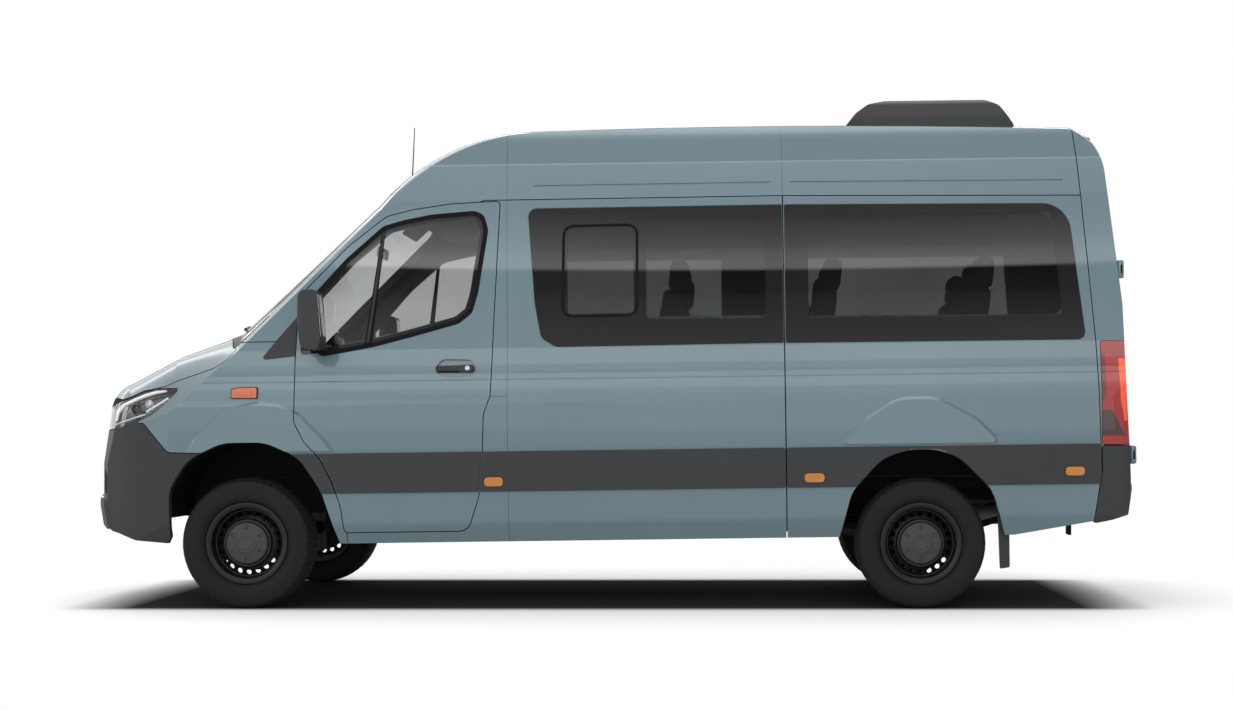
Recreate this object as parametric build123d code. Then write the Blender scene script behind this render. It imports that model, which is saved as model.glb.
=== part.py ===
from build123d import *
import math
import os

os.makedirs("parts", exist_ok=True)

# Driving dimensions, millimetres and degrees. Front of the vehicle at -X, left side at -Y.
wheelbase = 3665.0
front_overhang = 1004.0
rear_overhang = 1263.0
half_width = 1010.0
sill_height = 345.0
belt_height = 1400.0
roof_height = 2695.0
floor_height = 700.0
track = 1720.0
wheel_radius = 356.0
tyre_width = 235.0
rim_radius = 222.0
wall = 45.0
glass = 6.0
seam = 5.0
body_rake = 0.75

front_axle_x = front_overhang - (front_overhang + wheelbase + rear_overhang) / 2.0
rear_axle_x = front_axle_x + wheelbase
rake_axis = Axis((front_axle_x, 0, 580), (0, 1, 0))


def remap(value, knots):
    """Carry a nominal position to the one the driving dimensions ask for."""
    pairs = list(zip(knots[:-1], knots[1:]))
    for (a, b), (c, d) in pairs:
        if value <= c or (c, d) == knots[-1]:
            return b + (value - a) * (d - b) / (c - a)


x_knots = [
    (-1004.0, -front_overhang),
    (-430.0, -430.0),
    (1430.0, 1430.0),
    (2950.0, wheelbase - 715.0),
    (4150.0, wheelbase + 485.0),
    (4928.0, wheelbase + rear_overhang),
]
z_knots = [
    (0.0, 0.0),
    (345.0, sill_height),
    (1400.0, belt_height),
    (2695.0, roof_height),
]


def fx(value):
    """Station along the body, nominal distance behind the front axle."""
    return front_axle_x + remap(value, x_knots)


def hz(value):
    """Height on the body, nominal distance above the ground."""
    return remap(value, z_knots)


def wy(value):
    """Breadth on the body, nominal distance from the centre line."""
    return value * half_width / 1010.0


def in_body(x, z):
    """A point fixed to the ground, seen in the unraked frame of the body."""
    a = math.radians(body_rake)
    dx = x - front_axle_x
    dz = z - 580.0
    return front_axle_x + dx * math.cos(a) + dz * math.sin(a), 580.0 - dx * math.sin(a) + dz * math.cos(a)


front_hub = in_body(front_axle_x, wheel_radius)
rear_hub = in_body(rear_axle_x, wheel_radius)


def rounded(points, plane):
    """Closed face through corners (u, v, radius) on a plane."""
    n = len(points)
    ends = []
    for i, (u, v, r) in enumerate(points):
        if r <= 0:
            ends.append(((u, v), None, (u, v)))
            continue
        pu, pv, _ = points[i - 1]
        qu, qv, _ = points[(i + 1) % n]
        a = Vector(pu - u, pv - v)
        b = Vector(qu - u, qv - v)
        half = math.acos(max(-1.0, min(1.0, a.dot(b) / (a.length * b.length)))) / 2
        reach = min(r / math.tan(half), 0.48 * a.length, 0.48 * b.length)
        radius = reach * math.tan(half)
        a = a.normalized()
        b = b.normalized()
        mid = (a + b).normalized() * (radius / math.sin(half) - radius)
        start = (u + a.X * reach, v + a.Y * reach)
        end = (u + b.X * reach, v + b.Y * reach)
        ends.append((start, (u + mid.X, v + mid.Y), end))
    edges = []
    for i, (start, mid, end) in enumerate(ends):
        if mid is not None:
            edges.append(ThreePointArc(start, mid, end))
        follow = ends[(i + 1) % n][0]
        if math.dist(end, follow) > 1e-6:
            edges.append(Line(end, follow))
    return plane * make_face(edges)


def side_prism(points, y0, y1):
    """Prism across the body from a side outline (x, z, radius)."""
    low, high = sorted((y0, y1))
    plane = Plane(origin=(0, high, 0), x_dir=(1, 0, 0), z_dir=(0, -1, 0))
    return extrude(rounded(points, plane), high - low)


def end_prism(points, x0, x1):
    """Prism along the body from an end outline (y, z, radius)."""
    plane = Plane(origin=(x0, 0, 0), x_dir=(0, 1, 0), z_dir=(1, 0, 0))
    return extrude(rounded(points, plane), x1 - x0)


def plan_prism(points, z0, z1):
    """Upright prism from a plan outline (x, y, radius)."""
    plane = Plane(origin=(0, 0, z0), x_dir=(1, 0, 0), z_dir=(0, 0, 1))
    return extrude(rounded(points, plane), z1 - z0)


def box(x0, x1, y0, y1, z0, z1):
    return Pos((x0 + x1) / 2, (y0 + y1) / 2, (z0 + z1) / 2) * Box(x1 - x0, y1 - y0, z1 - z0)


def solids_of(shape):
    return shape.solids() if hasattr(shape, "solids") else [s for one in shape for s in one.solids()]


def largest(shape, count=1):
    parts = sorted(solids_of(shape), key=lambda s: s.volume, reverse=True)
    return parts[0] if count == 1 else Compound(children=list(parts[:count]))


def both_sides(shape):
    return Compound(children=solids_of(shape) + solids_of(mirror(shape, Plane.XZ)))


def mirrored(shape):
    return mirror(shape, Plane.XZ)


def save(shape, node, sprung=True):
    """Write one node, raked with the body unless it belongs to the wheels and axles."""
    placed = shape.rotate(rake_axis, -body_rake) if sprung else shape
    if isinstance(placed, (list, ShapeList)):
        placed = Compound(children=list(placed))
    export_step(placed, "parts/" + node + ".step")


# Side outline of the body at one breadth: how far the nose, screen and tail fall back from the centre line.
def side_section(y, inset):
    nose = 2.95e-4 * y * y
    screen = 105.0 * (y / 850.0) ** 2
    tail = 90.0 * (y / 830.0) ** 2
    drop = 207.0 * (abs(y) / 850.0) ** 3
    crown = 25.0 * (abs(y) / 425.0) ** 2
    t = inset
    p = [
        (fx(-964 + nose) + t, hz(300) + t),
        (fx(-1004 + nose) + t, hz(560)),
        (fx(-1001 + nose) + t, hz(800)),
        (fx(-948 + nose) + t, hz(1140 - drop * 0.25) - t * 0.3),
        (fx(-920 + nose) + t * 0.7, hz(1206 - drop * 0.5) - t * 0.7),
        (fx(-850 + nose) + t * 0.5, hz(1262 - drop * 0.8) - t),
        (fx(-530 + nose * 0.5) + t * 0.3, hz(1420 - drop) - t),
        (fx(-165 + screen), hz(1535 - drop * 0.45) - t),
        (fx(620 + screen) + t * 0.5, hz(2271 - crown) - t),
        (fx(1030 + screen) + t * 0.3, hz(2574 - crown) - t),
        (fx(1500 + screen * 0.6), hz(2680 - crown) - t),
        (fx(2750), hz(2695 - crown) - t),
        (fx(4600 - tail), hz(2664 - crown) - t),
        (fx(4742 - tail) - t * 0.7, hz(2566 - crown) - t * 0.7),
        (fx(4800 - tail) - t, hz(2330) - t * 0.2),
        (fx(4890 - tail) - t, hz(1600)),
        (fx(4920 - tail) - t, hz(831)),
        (fx(4924 - tail) - t, hz(560)),
        (fx(4884 - tail) - t, hz(300) + t),
    ]
    plane = Plane(origin=(0, y, 0), x_dir=(1, 0, 0), z_dir=(0, -1, 0))
    edges = [
        Line(p[0], p[1]),
        Line(p[1], p[2]),
        Line(p[2], p[3]),
        ThreePointArc(p[3], p[4], p[5]),
        Line(p[5], p[6]),
        Line(p[6], p[7]),
        Line(p[7], p[8]),
        ThreePointArc(p[8], p[9], p[10]),
        ThreePointArc(p[10], p[11], p[12]),
        ThreePointArc(p[12], p[13], p[14]),
        Line(p[14], p[15]),
        Line(p[15], p[16]),
        Line(p[16], p[17]),
        Line(p[17], p[18]),
        Line(p[18], p[0]),
    ]
    return plane * make_face(edges)


# Cross outline of one body side: breadth, height, corner radius.
flank = [
    (935.0, 300.0, 0),
    (948.0, 345.0, 20),
    (988.0, 450.0, 80),
    (995.0, 640.0, 300),
    (999.0, 1098.0, 6),
    (991.0, 1160.0, 900),
    (978.0, 1224.0, 5),
    (975.0, 1231.0, 5),
    (969.0, 1285.0, 900),
    (948.0, 1400.0, 60),
    (921.0, 1800.0, 20000),
    (888.0, 2212.0, 20),
    (866.0, 2402.0, 5),
    (860.0, 2411.0, 5),
    (800.0, 2602.0, 160),
    (560.0, 2716.0, 400),
]


def hull(inset):
    """The whole body as one solid, drawn in by an inset."""
    breadths = [wy(v) for v in (-1120, -850, -425, 0, 425, 850, 1120)]
    lengthwise = loft([side_section(y, inset) for y in breadths])
    right = [(wy(y) - inset, hz(z), r) for y, z, r in flank]
    left = [(-y, z, r) for y, z, r in reversed(right)]
    top = [(0, hz(2751), 0)]
    cross = end_prism(right + top + left, fx(-1200), fx(5100))
    t = inset
    plan = [
        (fx(-1100), -wy(400), 0),
        (fx(-806) + t, -wy(842) + t, 120),
        (fx(-640) + t, -wy(955) + t, 400),
        (fx(-330), -wy(1012) + t, 500),
        (fx(4600), -wy(1012) + t, 400),
        (fx(4815) - t, -wy(985) + t, 80),
        (fx(4850) - t, -wy(830) + t, 60),
        (fx(5000), -wy(400), 0),
    ]
    plan = plan + [(x, -y, r) for x, y, r in reversed(plan)]
    return lengthwise & cross & plan_prism(plan, hz(200), hz(2900))


outer = hull(0.0)
pane_inner = hull(glass)
inner = hull(wall)
shell = outer - inner
pane_layer = outer - pane_inner



def recess(prism, depth, along):
    """The outer part of a prism, down to the body skin moved inward by a depth along X or Y."""
    return prism - Pos(*[depth * v for v in along]) * outer


# ---------------------------------------------------------------- outlines of the panels
def grown(points, amount):
    """Corner list moved outward by an amount, square to its sides."""
    area = 0.0
    n = len(points)
    for i in range(n):
        x0, y0, _ = points[i]
        x1, y1, _ = points[(i + 1) % n]
        area += x0 * y1 - x1 * y0
    turn = 1.0 if area > 0 else -1.0
    moved = []
    for i in range(n):
        px, py, _ = points[i - 1]
        x, y, r = points[i]
        qx, qy, _ = points[(i + 1) % n]
        a = Vector(x - px, y - py).normalized()
        b = Vector(qx - x, qy - y).normalized()
        na = Vector(a.Y, -a.X) * turn
        nb = Vector(b.Y, -b.X) * turn
        m = (na + nb) * (1.0 / (1.0 + na.dot(nb)))
        moved.append((x + m.X * amount, y + m.Y * amount, max(0.0, r + amount) if r > 0 else 0))
    return moved


def side(points):
    """Nominal side outline carried to the driving dimensions."""
    return [(fx(x), hz(z), r) for x, z, r in points]


front_door_outline = side([
    (278, 1010, 80), (330, 905, 60), (415, 810, 100), (480, 680, 200), (522, 540, 200), (538, 410, 20),
    (1205, 410, 70), (1268, 600, 300), (1288, 830, 200), (1296, 1040, 120), (1334, 1140, 60),
    (1349, 1500, 600), (1389, 2203, 20), (1125, 2191, 400), (917, 2162, 200), (770, 2126, 120),
    (560, 1962, 400), (338, 1735, 150), (292, 1652, 20), (278, 1345, 20),
])
front_door_window = side([
    (306, 1378, 15), (500, 1392, 200), (918, 1480, 600), (1190, 1557, 70), (1240, 1620, 60),
    (1316, 2080, 60), (1285, 2140, 40), (1021, 2122, 300), (780, 2072, 120), (560, 1887, 400), (306, 1612, 20),
])
front_glass_outline = side([
    (1543, 2160, 45), (2929, 2165, 8), (2929, 1409, 8), (1690, 1402, 60), (1612, 1450, 60), (1578, 1640, 300),
])
front_aperture = side([
    (1610, 2120, 60), (2860, 2125, 60), (2860, 1560, 60), (1660, 1560, 80),
])
rear_glass_outline = side([
    (2942, 2165, 8), (4488, 2152, 160), (4572, 1406, 40), (2942, 1408, 8),
])
rear_aperture = side([
    (3015, 2125, 60), (4400, 2115, 120), (4455, 1545, 60), (3015, 1555, 60),
])
sliding_door_outline = side([
    (1430, 425, 60), (2715, 425, 60), (2715, 2195, 50), (1430, 2195, 50),
])
lamp_outline = side([
    (-1100, 975, 0), (-753, 988, 10), (-597, 1018, 60), (-499, 1068, 100), (-427, 1138, 80), (-374, 1204, 12),
    (-504, 1207, 40), (-624, 1189, 200), (-723, 1144, 60), (-1100, 1000, 0),
])
tail_lamp_outline = side([
    (4650, 1397, 15), (5050, 1390, 0), (5050, 832, 0), (4645, 834, 15),
])
rear_split = side([
    (4520, 2800, 0), (4567, 2195, 0), (4628, 1396, 0), (4640, 831, 0), (4640, 300, 0), (5100, 300, 0),
    (5100, 2800, 0),
])


# Wheel openings: distance behind the hub, height above it, corner radius; the foot runs down past the sill.
front_arch_rows = [
    (-408, -300, 0), (-406, 300, 200), (-300, 460, 200), (-110, 547, 250), (120, 547, 250), (302, 462, 200),
    (414, 290, 260), (603, -300, 0),
]
rear_arch_rows = [
    (-536, -300, 0), (-374, 288, 200), (-205, 470, 250), (-60, 511, 300), (80, 511, 300), (208, 468, 250),
    (388, 285, 200), (550, -300, 0),
]


def arch_outline(hub, rows):
    """Wheel opening round a hub, grown with the tyre."""
    x, z = hub
    spare = wheel_radius - 356.0
    outline = []
    for dx, dz, r in rows:
        side_way = math.copysign(spare, dx)
        outline.append((x + dx + side_way, z + dz + (spare if dz > 0 else 0), r))
    return outline


front_arch = arch_outline(front_hub, front_arch_rows)
rear_arch = arch_outline(rear_hub, rear_arch_rows)
arch_space = side_prism(front_arch, -wy(520), -wy(1300)) + side_prism(rear_arch, -wy(620), -wy(1300))
arch_space = arch_space + mirrored(arch_space)

left_shell = shell & box(fx(-1300), fx(5300), -wy(1300), -wy(560), hz(348), hz(2900))


def left_prism(points, y_inner=400.0):
    return side_prism(points, -wy(y_inner), -wy(1300))


def bulge(points, proud=1011.0, spread=50.0):
    """Raised form on the left side with sloping edges, its foot sunk in the panel."""
    plane = Plane(origin=(0, -wy(985), 0), x_dir=(1, 0, 0), z_dir=(0, -1, 0))
    return extrude(rounded(points, plane), wy(proud - 985.0), taper=spread)


bulge_front = bulge(side([
    (-352, 815, 40), (-285, 935, 200), (-140, 1085, 250), (40, 1136, 300), (190, 1126, 200), (318, 1074, 200),
    (444, 935, 150), (540, 815, 40),
]))
bulge_rear = bulge(side([
    (3170, 815, 60), (3325, 985, 200), (3530, 1122, 250), (3765, 1120, 250), (3985, 998, 200), (4165, 815, 60),
]))
band_top_space = left_prism(side([(-1200, 300, 0), (5200, 300, 0), (5200, 852, 0), (-1200, 852, 0)]), 900.0)
bulge_front = (bulge_front - arch_space) - band_top_space
bulge_rear = (bulge_rear - arch_space) - band_top_space


# ---------------------------------------------------------------- bonnet, screen and roof
bonnet_rear = [
    (fx(-58), -wy(1100), 0), (fx(-58), -wy(905), 20), (fx(-92), -wy(850), 80), (fx(-200), -wy(470), 600),
    (fx(-232), -wy(150), 600),
]
bonnet_plan = [(fx(-1200), -wy(1100), 0)] + bonnet_rear
bonnet_plan = bonnet_plan + [(x, -y, r) for x, y, r in reversed(bonnet_plan)]
bonnet_side = side([
    (-1100, 1190, 0), (-850, 1172, 60), (-735, 1152, 20), (-628, 1198, 200), (-504, 1215, 40), (-470, 1222, 30),
    (-403, 1251, 100), (-172, 1313, 90), (-108, 1349, 60), (-20, 1458, 0), (-20, 1750, 0), (-1100, 1750, 0),
])
bonnet_zone = plan_prism(bonnet_plan, hz(1000), hz(1750)) & side_prism(bonnet_side, -wy(1050), wy(1050))
bonnet_hole = plan_prism(grown(bonnet_plan, seam), hz(1000), hz(1750))
bonnet_hole = bonnet_hole & side_prism(grown(bonnet_side, seam), -wy(1050), wy(1050))
bonnet = largest(shell & bonnet_zone)

screen_outline = [
    (-wy(843), hz(1454), 30), (-wy(640), hz(1511), 300), (-wy(330), hz(1547), 600), (wy(330), hz(1547), 600),
    (wy(640), hz(1511), 300), (wy(843), hz(1454), 30),
    (wy(772), hz(2262), 90), (0, hz(2352), 2500), (-wy(772), hz(2262), 90),
]
screen_hole = end_prism(grown(screen_outline, 3.0), fx(-400), fx(1250))
screen_zone = end_prism(screen_outline, fx(-400), fx(1250))
screen = largest(pane_layer & screen_zone)

cowl_box = box(fx(-300), fx(112), -wy(868), wy(868), hz(1300), hz(1600))
cowl_hole = box(fx(-305), fx(117), -wy(873), wy(873), hz(1295), hz(1605))
cowl = largest((shell & cowl_box) - bonnet_hole - screen_hole)

roof_zone = side_prism(side([
    (-300, 1452, 0), (290, 1452, 0), (700, 1900, 0), (1300, 2213, 0), (2940, 2218, 0), (4566, 2199, 0),
    (4900, 2195, 0), (4900, 2900, 0), (-300, 2900, 0),
]), -wy(1200), wy(1200))
door_hole = left_prism(grown(front_door_outline, seam))
rear_hole = side_prism(grown(rear_split, seam), -wy(1200), wy(1200))
roof = (shell & roof_zone) - cowl_hole - screen_hole - door_hole - mirrored(door_hole) - rear_hole
# Joints between the roof pressings, and two long shallow grooves along each side.
joint_rings = [box(fx(x) - 1.5, fx(x) + 1.5, -wy(1200), wy(1200), hz(340), hz(2900)) for x in (1428, 2934)]
roof_grooves = [
    left_prism(side([(1571, 2281, 4), (2870, 2285, 4), (2870, 2294, 4), (1571, 2290, 4)]), 700.0),
    left_prism(side([(2976, 2285, 4), (4466, 2277, 4), (4466, 2286, 4), (2976, 2294, 4)]), 700.0),
]
for cut in joint_rings + roof_grooves + [mirrored(g) for g in roof_grooves]:
    roof = roof - (cut & pane_layer)
roof = largest(roof)

# ---------------------------------------------------------------- front wings and bumper
bumper_side = side([
    (-1200, 500, 0), (-900, 462, 200), (-707, 417, 100), (-602, 380, 60), (-430, 362, 0), (-300, 600, 0),
    (-232, 845, 0), (-414, 852, 40), (-494, 945, 60), (-552, 1014, 20), (-600, 1014, 60), (-757, 982, 20),
    (-1200, 965, 0),
])
lamp_side_hole = left_prism(grown(lamp_outline, 3.0), 600.0)
wing_zone = left_prism(side([
    (-700, 348, 0), (545, 348, 0), (545, 900, 0), (273, 1010, 0), (273, 1447, 0), (-700, 1447, 0),
]), 600.0)
wing = (left_shell & wing_zone) - left_prism(grown(bumper_side, seam), 300.0) - lamp_side_hole
wing = wing - bonnet_hole - cowl_hole - door_hole - arch_space
sail_outline = side([(88, 1350, 12), (180, 1462, 40), (306, 1604, 10), (306, 1374, 10)])
sail_zone = left_prism(sail_outline, 600.0)
sail_hole = left_prism(grown(sail_outline, 2.0), 600.0) & pane_layer
wing = (wing + (bulge_front - door_hole)) - sail_hole
wing_left = largest(wing)
roof = largest((roof - sail_hole) - mirrored(sail_hole))
sail_left = largest((pane_layer & sail_zone) - door_hole)
front_wings = Compound(children=[wing_left, mirrored(wing_left)])

lamp_left = largest((left_shell & left_prism(lamp_outline, 610.0)) - bonnet_hole)
lamp_pair = [lamp_left, mirrored(lamp_left)]

bumper_zone = side_prism(bumper_side, -wy(1200), wy(1200))
grille_outline = [
    (-wy(585), hz(700), 60), (wy(585), hz(700), 60), (wy(600), hz(1000), 40), (wy(590), hz(1186), 30),
    (-wy(590), hz(1186), 30), (-wy(600), hz(1000), 40),
]
grille_hole = end_prism(grown(grille_outline, 4.0), fx(-1300), fx(-600))
grille_zone = end_prism(grille_outline, fx(-1300), fx(-600))
nose_shell = shell & box(fx(-1300), fx(-200), -wy(1200), wy(1200), hz(360), hz(1200))
bumper = (nose_shell & bumper_zone) - grille_hole - arch_space
lip_outline = [
    (-wy(870), hz(440), 0), (wy(870), hz(440), 0), (wy(850), hz(600), 40), (-wy(850), hz(600), 40),
]
lip_zone = end_prism(lip_outline, fx(-1300), fx(-640)) & bumper_zone
bumper_lip = (Pos(-20, 0, 0) * outer & lip_zone) - (Pos(12, 0, 0) * outer)
fog_outline = [(-wy(842), hz(628), 15), (-wy(700), hz(640), 25), (-wy(730), hz(765), 30), (-wy(842), hz(742), 15)]
fog_recess = recess(end_prism(fog_outline, fx(-1300), fx(-600)), 26.0, (1, 0, 0))
intake = end_prism([
    (-wy(430), hz(530), 30), (wy(430), hz(530), 30), (wy(400), hz(645), 30), (-wy(400), hz(645), 30),
], fx(-1300), fx(-600))
bumper = (bumper + bumper_lip) - fog_recess - mirrored(fog_recess) - intake
front_bumper = largest(bumper)
grille = largest((nose_shell & grille_zone) - bonnet_hole)

# Grille openings: rows between a lower and an upper height, inner and outer half breadths of each opening.
grille_rows = [(745, 830), (852, 937), (959, 1044), (1066, 1148)]
grille_bays = [(-560, -192), (-172, 172), (192, 560)]
for low, high in grille_rows:
    for y0, y1 in grille_bays:
        slot = [(wy(y0), hz(low), 14), (wy(y1), hz(low), 14), (wy(y1), hz(high), 14), (wy(y0), hz(high), 14)]
        grille = grille - end_prism(slot, fx(-1300), fx(-600))
grille = largest(grille)
radiator = box(fx(-820), fx(-770), -wy(500), wy(500), hz(560), hz(1130))

# ---------------------------------------------------------------- side panels, rear frame and rear bumper
side_low = hz(348)
flank_left = shell & box(fx(300), fx(4700), -wy(1200), -wy(700), side_low, hz(2300))
tail_sweep = left_prism(side([
    (4120, 300, 0), (4120, 340, 0), (4589, 417, 0), (4750, 443, 0), (4750, 300, 0),
]), 600.0)
rear_bumper_side = side([
    (4597, 404, 12), (4700, 424, 40), (4818, 463, 60), (5100, 480, 0), (5100, 824, 0), (4645, 826, 15),
    (4645, 690, 60),
])
rear_bumper_zone = side_prism(rear_bumper_side, -wy(1200), wy(1200))
rear_bumper_hole = side_prism(grown(rear_bumper_side, seam), -wy(1200), wy(1200))
flank_left = flank_left - door_hole - arch_space - rear_hole - tail_sweep - rear_bumper_hole
pane_left = pane_layer & box(fx(0), fx(4700), -wy(1200), -wy(700), hz(1300), hz(2300))


def window_cut(shape, outline, aperture):
    """Sink a flush pane into a panel and open the smaller hole behind it."""
    rebate = left_prism(grown(outline, 3.0), 700.0) - pane_inner
    return shape - rebate - left_prism(aperture, 700.0)


front_flank_zone = left_prism(side([
    (550, 348, 0), (2931, 348, 0), (2931, 2213, 0), (1300, 2208, 0), (1300, 1500, 0), (550, 900, 0),
]), 700.0)
rear_flank_zone = left_prism(side([
    (2937, 348, 0), (4650, 348, 0), (4650, 2193, 0), (4566, 2194, 0), (2937, 2213, 0),
]), 700.0)
front_flank = flank_left & front_flank_zone
pillar_line = left_prism(side([(1325, 1133, 0), (1428, 1133, 0), (1428, 1137, 0), (1325, 1137, 0)]), 900.0)
for cut in (joint_rings[0], pillar_line):
    front_flank = front_flank - (cut & pane_layer)
rear_flank = window_cut(flank_left & rear_flank_zone, rear_glass_outline, rear_aperture)
rear_flank = largest(rear_flank + bulge_rear)
front_flank_left = largest(window_cut(front_flank, front_glass_outline, front_aperture))
sliding_hole = left_prism(grown(sliding_door_outline, seam), 600.0)
front_flank_right = mirrored(largest(front_flank - sliding_hole))
sliding_side_glass = side([
    (1500, 2130, 60), (2650, 2130, 60), (2650, 1409, 60), (1500, 1409, 60),
])
sliding_aperture = side([
    (1560, 2095, 60), (2590, 2095, 60), (2590, 1560, 60), (1560, 1560, 60),
])
sliding_door = largest(window_cut(
    shell & left_prism(sliding_door_outline, 700.0), sliding_side_glass, sliding_aperture))
sliding_door = mirrored(sliding_door)

panes_left = [
    largest(pane_left & left_prism(front_glass_outline, 700.0)),
    largest(pane_left & left_prism(rear_glass_outline, 700.0)),
]
panes_right = [
    mirrored(largest(pane_left & left_prism(sliding_side_glass, 700.0))),
    mirrored(panes_left[1]),
]

rear_door_face = [
    (-wy(3), hz(648), 0), (-wy(880), hz(648), 25), (-wy(896), hz(1100), 300), (-wy(880), hz(1500), 300),
    (-wy(820), hz(2240), 90), (-wy(3), hz(2300), 0),
]
rear_window = [
    (-wy(95), hz(1440), 50), (-wy(800), hz(1440), 60), (-wy(752), hz(2130), 70), (-wy(95), hz(2170), 50),
]
tail_shell = shell & box(fx(4400), fx(5200), -wy(1200), wy(1200), hz(348), hz(2800))
rear_door_hole = end_prism(grown([
    (-y, z, r) for y, z, r in rear_door_face[1:-1]
] + [(-wy(0), hz(2300), 0)] + [(y, z, r) for y, z, r in reversed(rear_door_face[1:-1])], seam), fx(4640), fx(5200))
tail_lamp_hole = side_prism(grown(tail_lamp_outline, 3.0), -wy(1200), wy(1200))
tail_lamp_zone = side_prism(tail_lamp_outline, -wy(1200), wy(1200))
rear_frame = (tail_shell & side_prism(rear_split, -wy(1200), wy(1200))) - rear_door_hole
rear_bumper = largest((tail_shell & rear_bumper_zone) - rear_door_hole)
tail_lamps = (tail_shell & tail_lamp_zone) - rear_door_hole
tail_lamps = largest(tail_lamps, 2)
rear_frame = rear_frame - rear_bumper_hole - tail_lamp_hole
camera_pod = side_prism(side([
    (4680, 2570, 0), (4690, 2622, 20), (4768, 2644, 8), (4782, 2636, 5), (4755, 2560, 0),
]), -wy(75), wy(75)) - inner
rear_frame = largest(rear_frame + camera_pod)

door_zone = end_prism(rear_door_face, fx(4640), fx(5200))
pane_tail = pane_layer & box(fx(4640), fx(5200), -wy(1000), 0, hz(1300), hz(2300))
rear_glass_left = largest(pane_tail & end_prism(rear_window, fx(4640), fx(5200)))
rear_rebate = end_prism(grown(rear_window, 3.0), fx(4640), fx(5200)) - pane_inner
rear_door_left = (tail_shell & door_zone) - rear_rebate
rear_door_left = rear_door_left - end_prism(grown(rear_window, -45.0), fx(4640), fx(5200))
rear_door_left = largest(rear_door_left)

# ---------------------------------------------------------------- front doors
door_block = shell & box(fx(250), fx(1450), -wy(1200), -wy(600), hz(380), hz(2300))
front_door_left = largest(door_block & left_prism(front_door_outline))
window_rebate = left_prism(grown(front_door_window, 3.0), 600.0) - pane_inner
front_door_left = front_door_left - window_rebate - left_prism(grown(front_door_window, -30.0), 600.0)
handle_bowl = side([
    (1030, 1290, 46), (1075, 1342, 46), (1225, 1338, 46), (1270, 1290, 46), (1225, 1240, 46), (1075, 1244, 46),
])
door_bulge = (bulge_front & left_prism(front_door_outline)) - inner
front_door_left = (front_door_left + door_bulge) - recess(left_prism(handle_bowl, 900.0), 14.0, (0, 1, 0))
front_door_left = largest(front_door_left)
front_door_glass_left = largest(pane_left & left_prism(front_door_window, 600.0))
mirror_head = side_prism(side([
    (335, 1690, 60), (372, 1714, 40), (446, 1712, 30), (462, 1440, 50), (440, 1394, 30), (352, 1400, 50),
    (330, 1520, 300),
]), -wy(1030), -wy(1172))
mirror_plan = plan_prism([
    (fx(322), -wy(1060), 60), (fx(330), -wy(1150), 50), (fx(430), -wy(1173), 30), (fx(470), -wy(1172), 8),
    (fx(470), -wy(1028), 8), (fx(380), -wy(1028), 60),
], hz(1380), hz(1730))
mirror_head = mirror_head & mirror_plan
mirror_arm = side_prism(side([
    (345, 1440, 20), (440, 1440, 20), (440, 1402, 15), (345, 1402, 15),
]), -wy(930), -wy(1040))
mirror_arm = mirror_arm - outer
mirror_left = mirror_head + mirror_arm
handle_left = side_prism(side([
    (1052, 1302, 12), (1248, 1308, 15), (1248, 1274, 15), (1052, 1279, 12),
]), -wy(955), -wy(995)) - (Pos(0, -3, 0) * outer)
handle_stubs = [side_prism(side([
    (x, 1299, 4), (x + 24, 1299, 4), (x + 24, 1281, 4), (x, 1281, 4),
]), -wy(950), -wy(978)) - (Pos(0, 14, 0) * outer) for x in (1064, 1212)]
handle_left = largest(handle_left + handle_stubs[0] + handle_stubs[1])
band_low = hz(621)
band_high = hz(838)


def band(x0, x1, y_face=1010.0):
    """Raised side moulding between two stations."""
    return left_prism([(x0, band_low, 12), (x1, band_low, 12), (x1, band_high, 12), (x0, band_high, 12)],
                      900.0) & box(x0 - 10, x1 + 10, -wy(y_face), -wy(998) - 0.5, band_low - 10, band_high + 10)


door_band = band(fx(500), fx(1268)) & left_prism(grown(front_door_outline, -6.0))
front_trim_left = Compound(children=[mirror_left - pane_left, largest(door_band), handle_left])

# ---------------------------------------------------------------- mouldings and flares on the body
band_front_arch = largest(band(fx(230), fx(560)) - arch_space - door_hole)
band_front = band(fx(1360), fx(2931))
band_mid = largest(band(fx(2937), fx(3600)) - arch_space)
band_rear = largest(band(fx(3800), fx(4636)) - arch_space - rear_bumper_hole)
flap_outline = side([
    (4078, 608, 5), (4104, 608, 20), (4136, 500, 200), (4150, 380, 200), (4150, 168, 8), (4096, 160, 8),
    (4090, 380, 200),
])
flap_hollow = side([
    (4040, 640, 0), (4096, 608, 20), (4126, 500, 200), (4138, 380, 200), (4138, 130, 0), (4040, 130, 0),
])
mud_flap = side_prism(flap_outline, -wy(690), -wy(898)) - side_prism(flap_hollow, -wy(680), -wy(886))
mud_flap = largest(mud_flap)
mouldings_left = [sail_left, band_front_arch, band_front, band_mid, band_rear, mud_flap]
band_sliding = band(fx(1440), fx(2705))
band_behind = band(fx(2725), fx(2931))
mouldings_right = [mirrored(s) for s in (
    sail_left, band_front_arch, band_mid, band_rear, mud_flap, band_sliding, band_behind)]
print("panels done")

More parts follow.
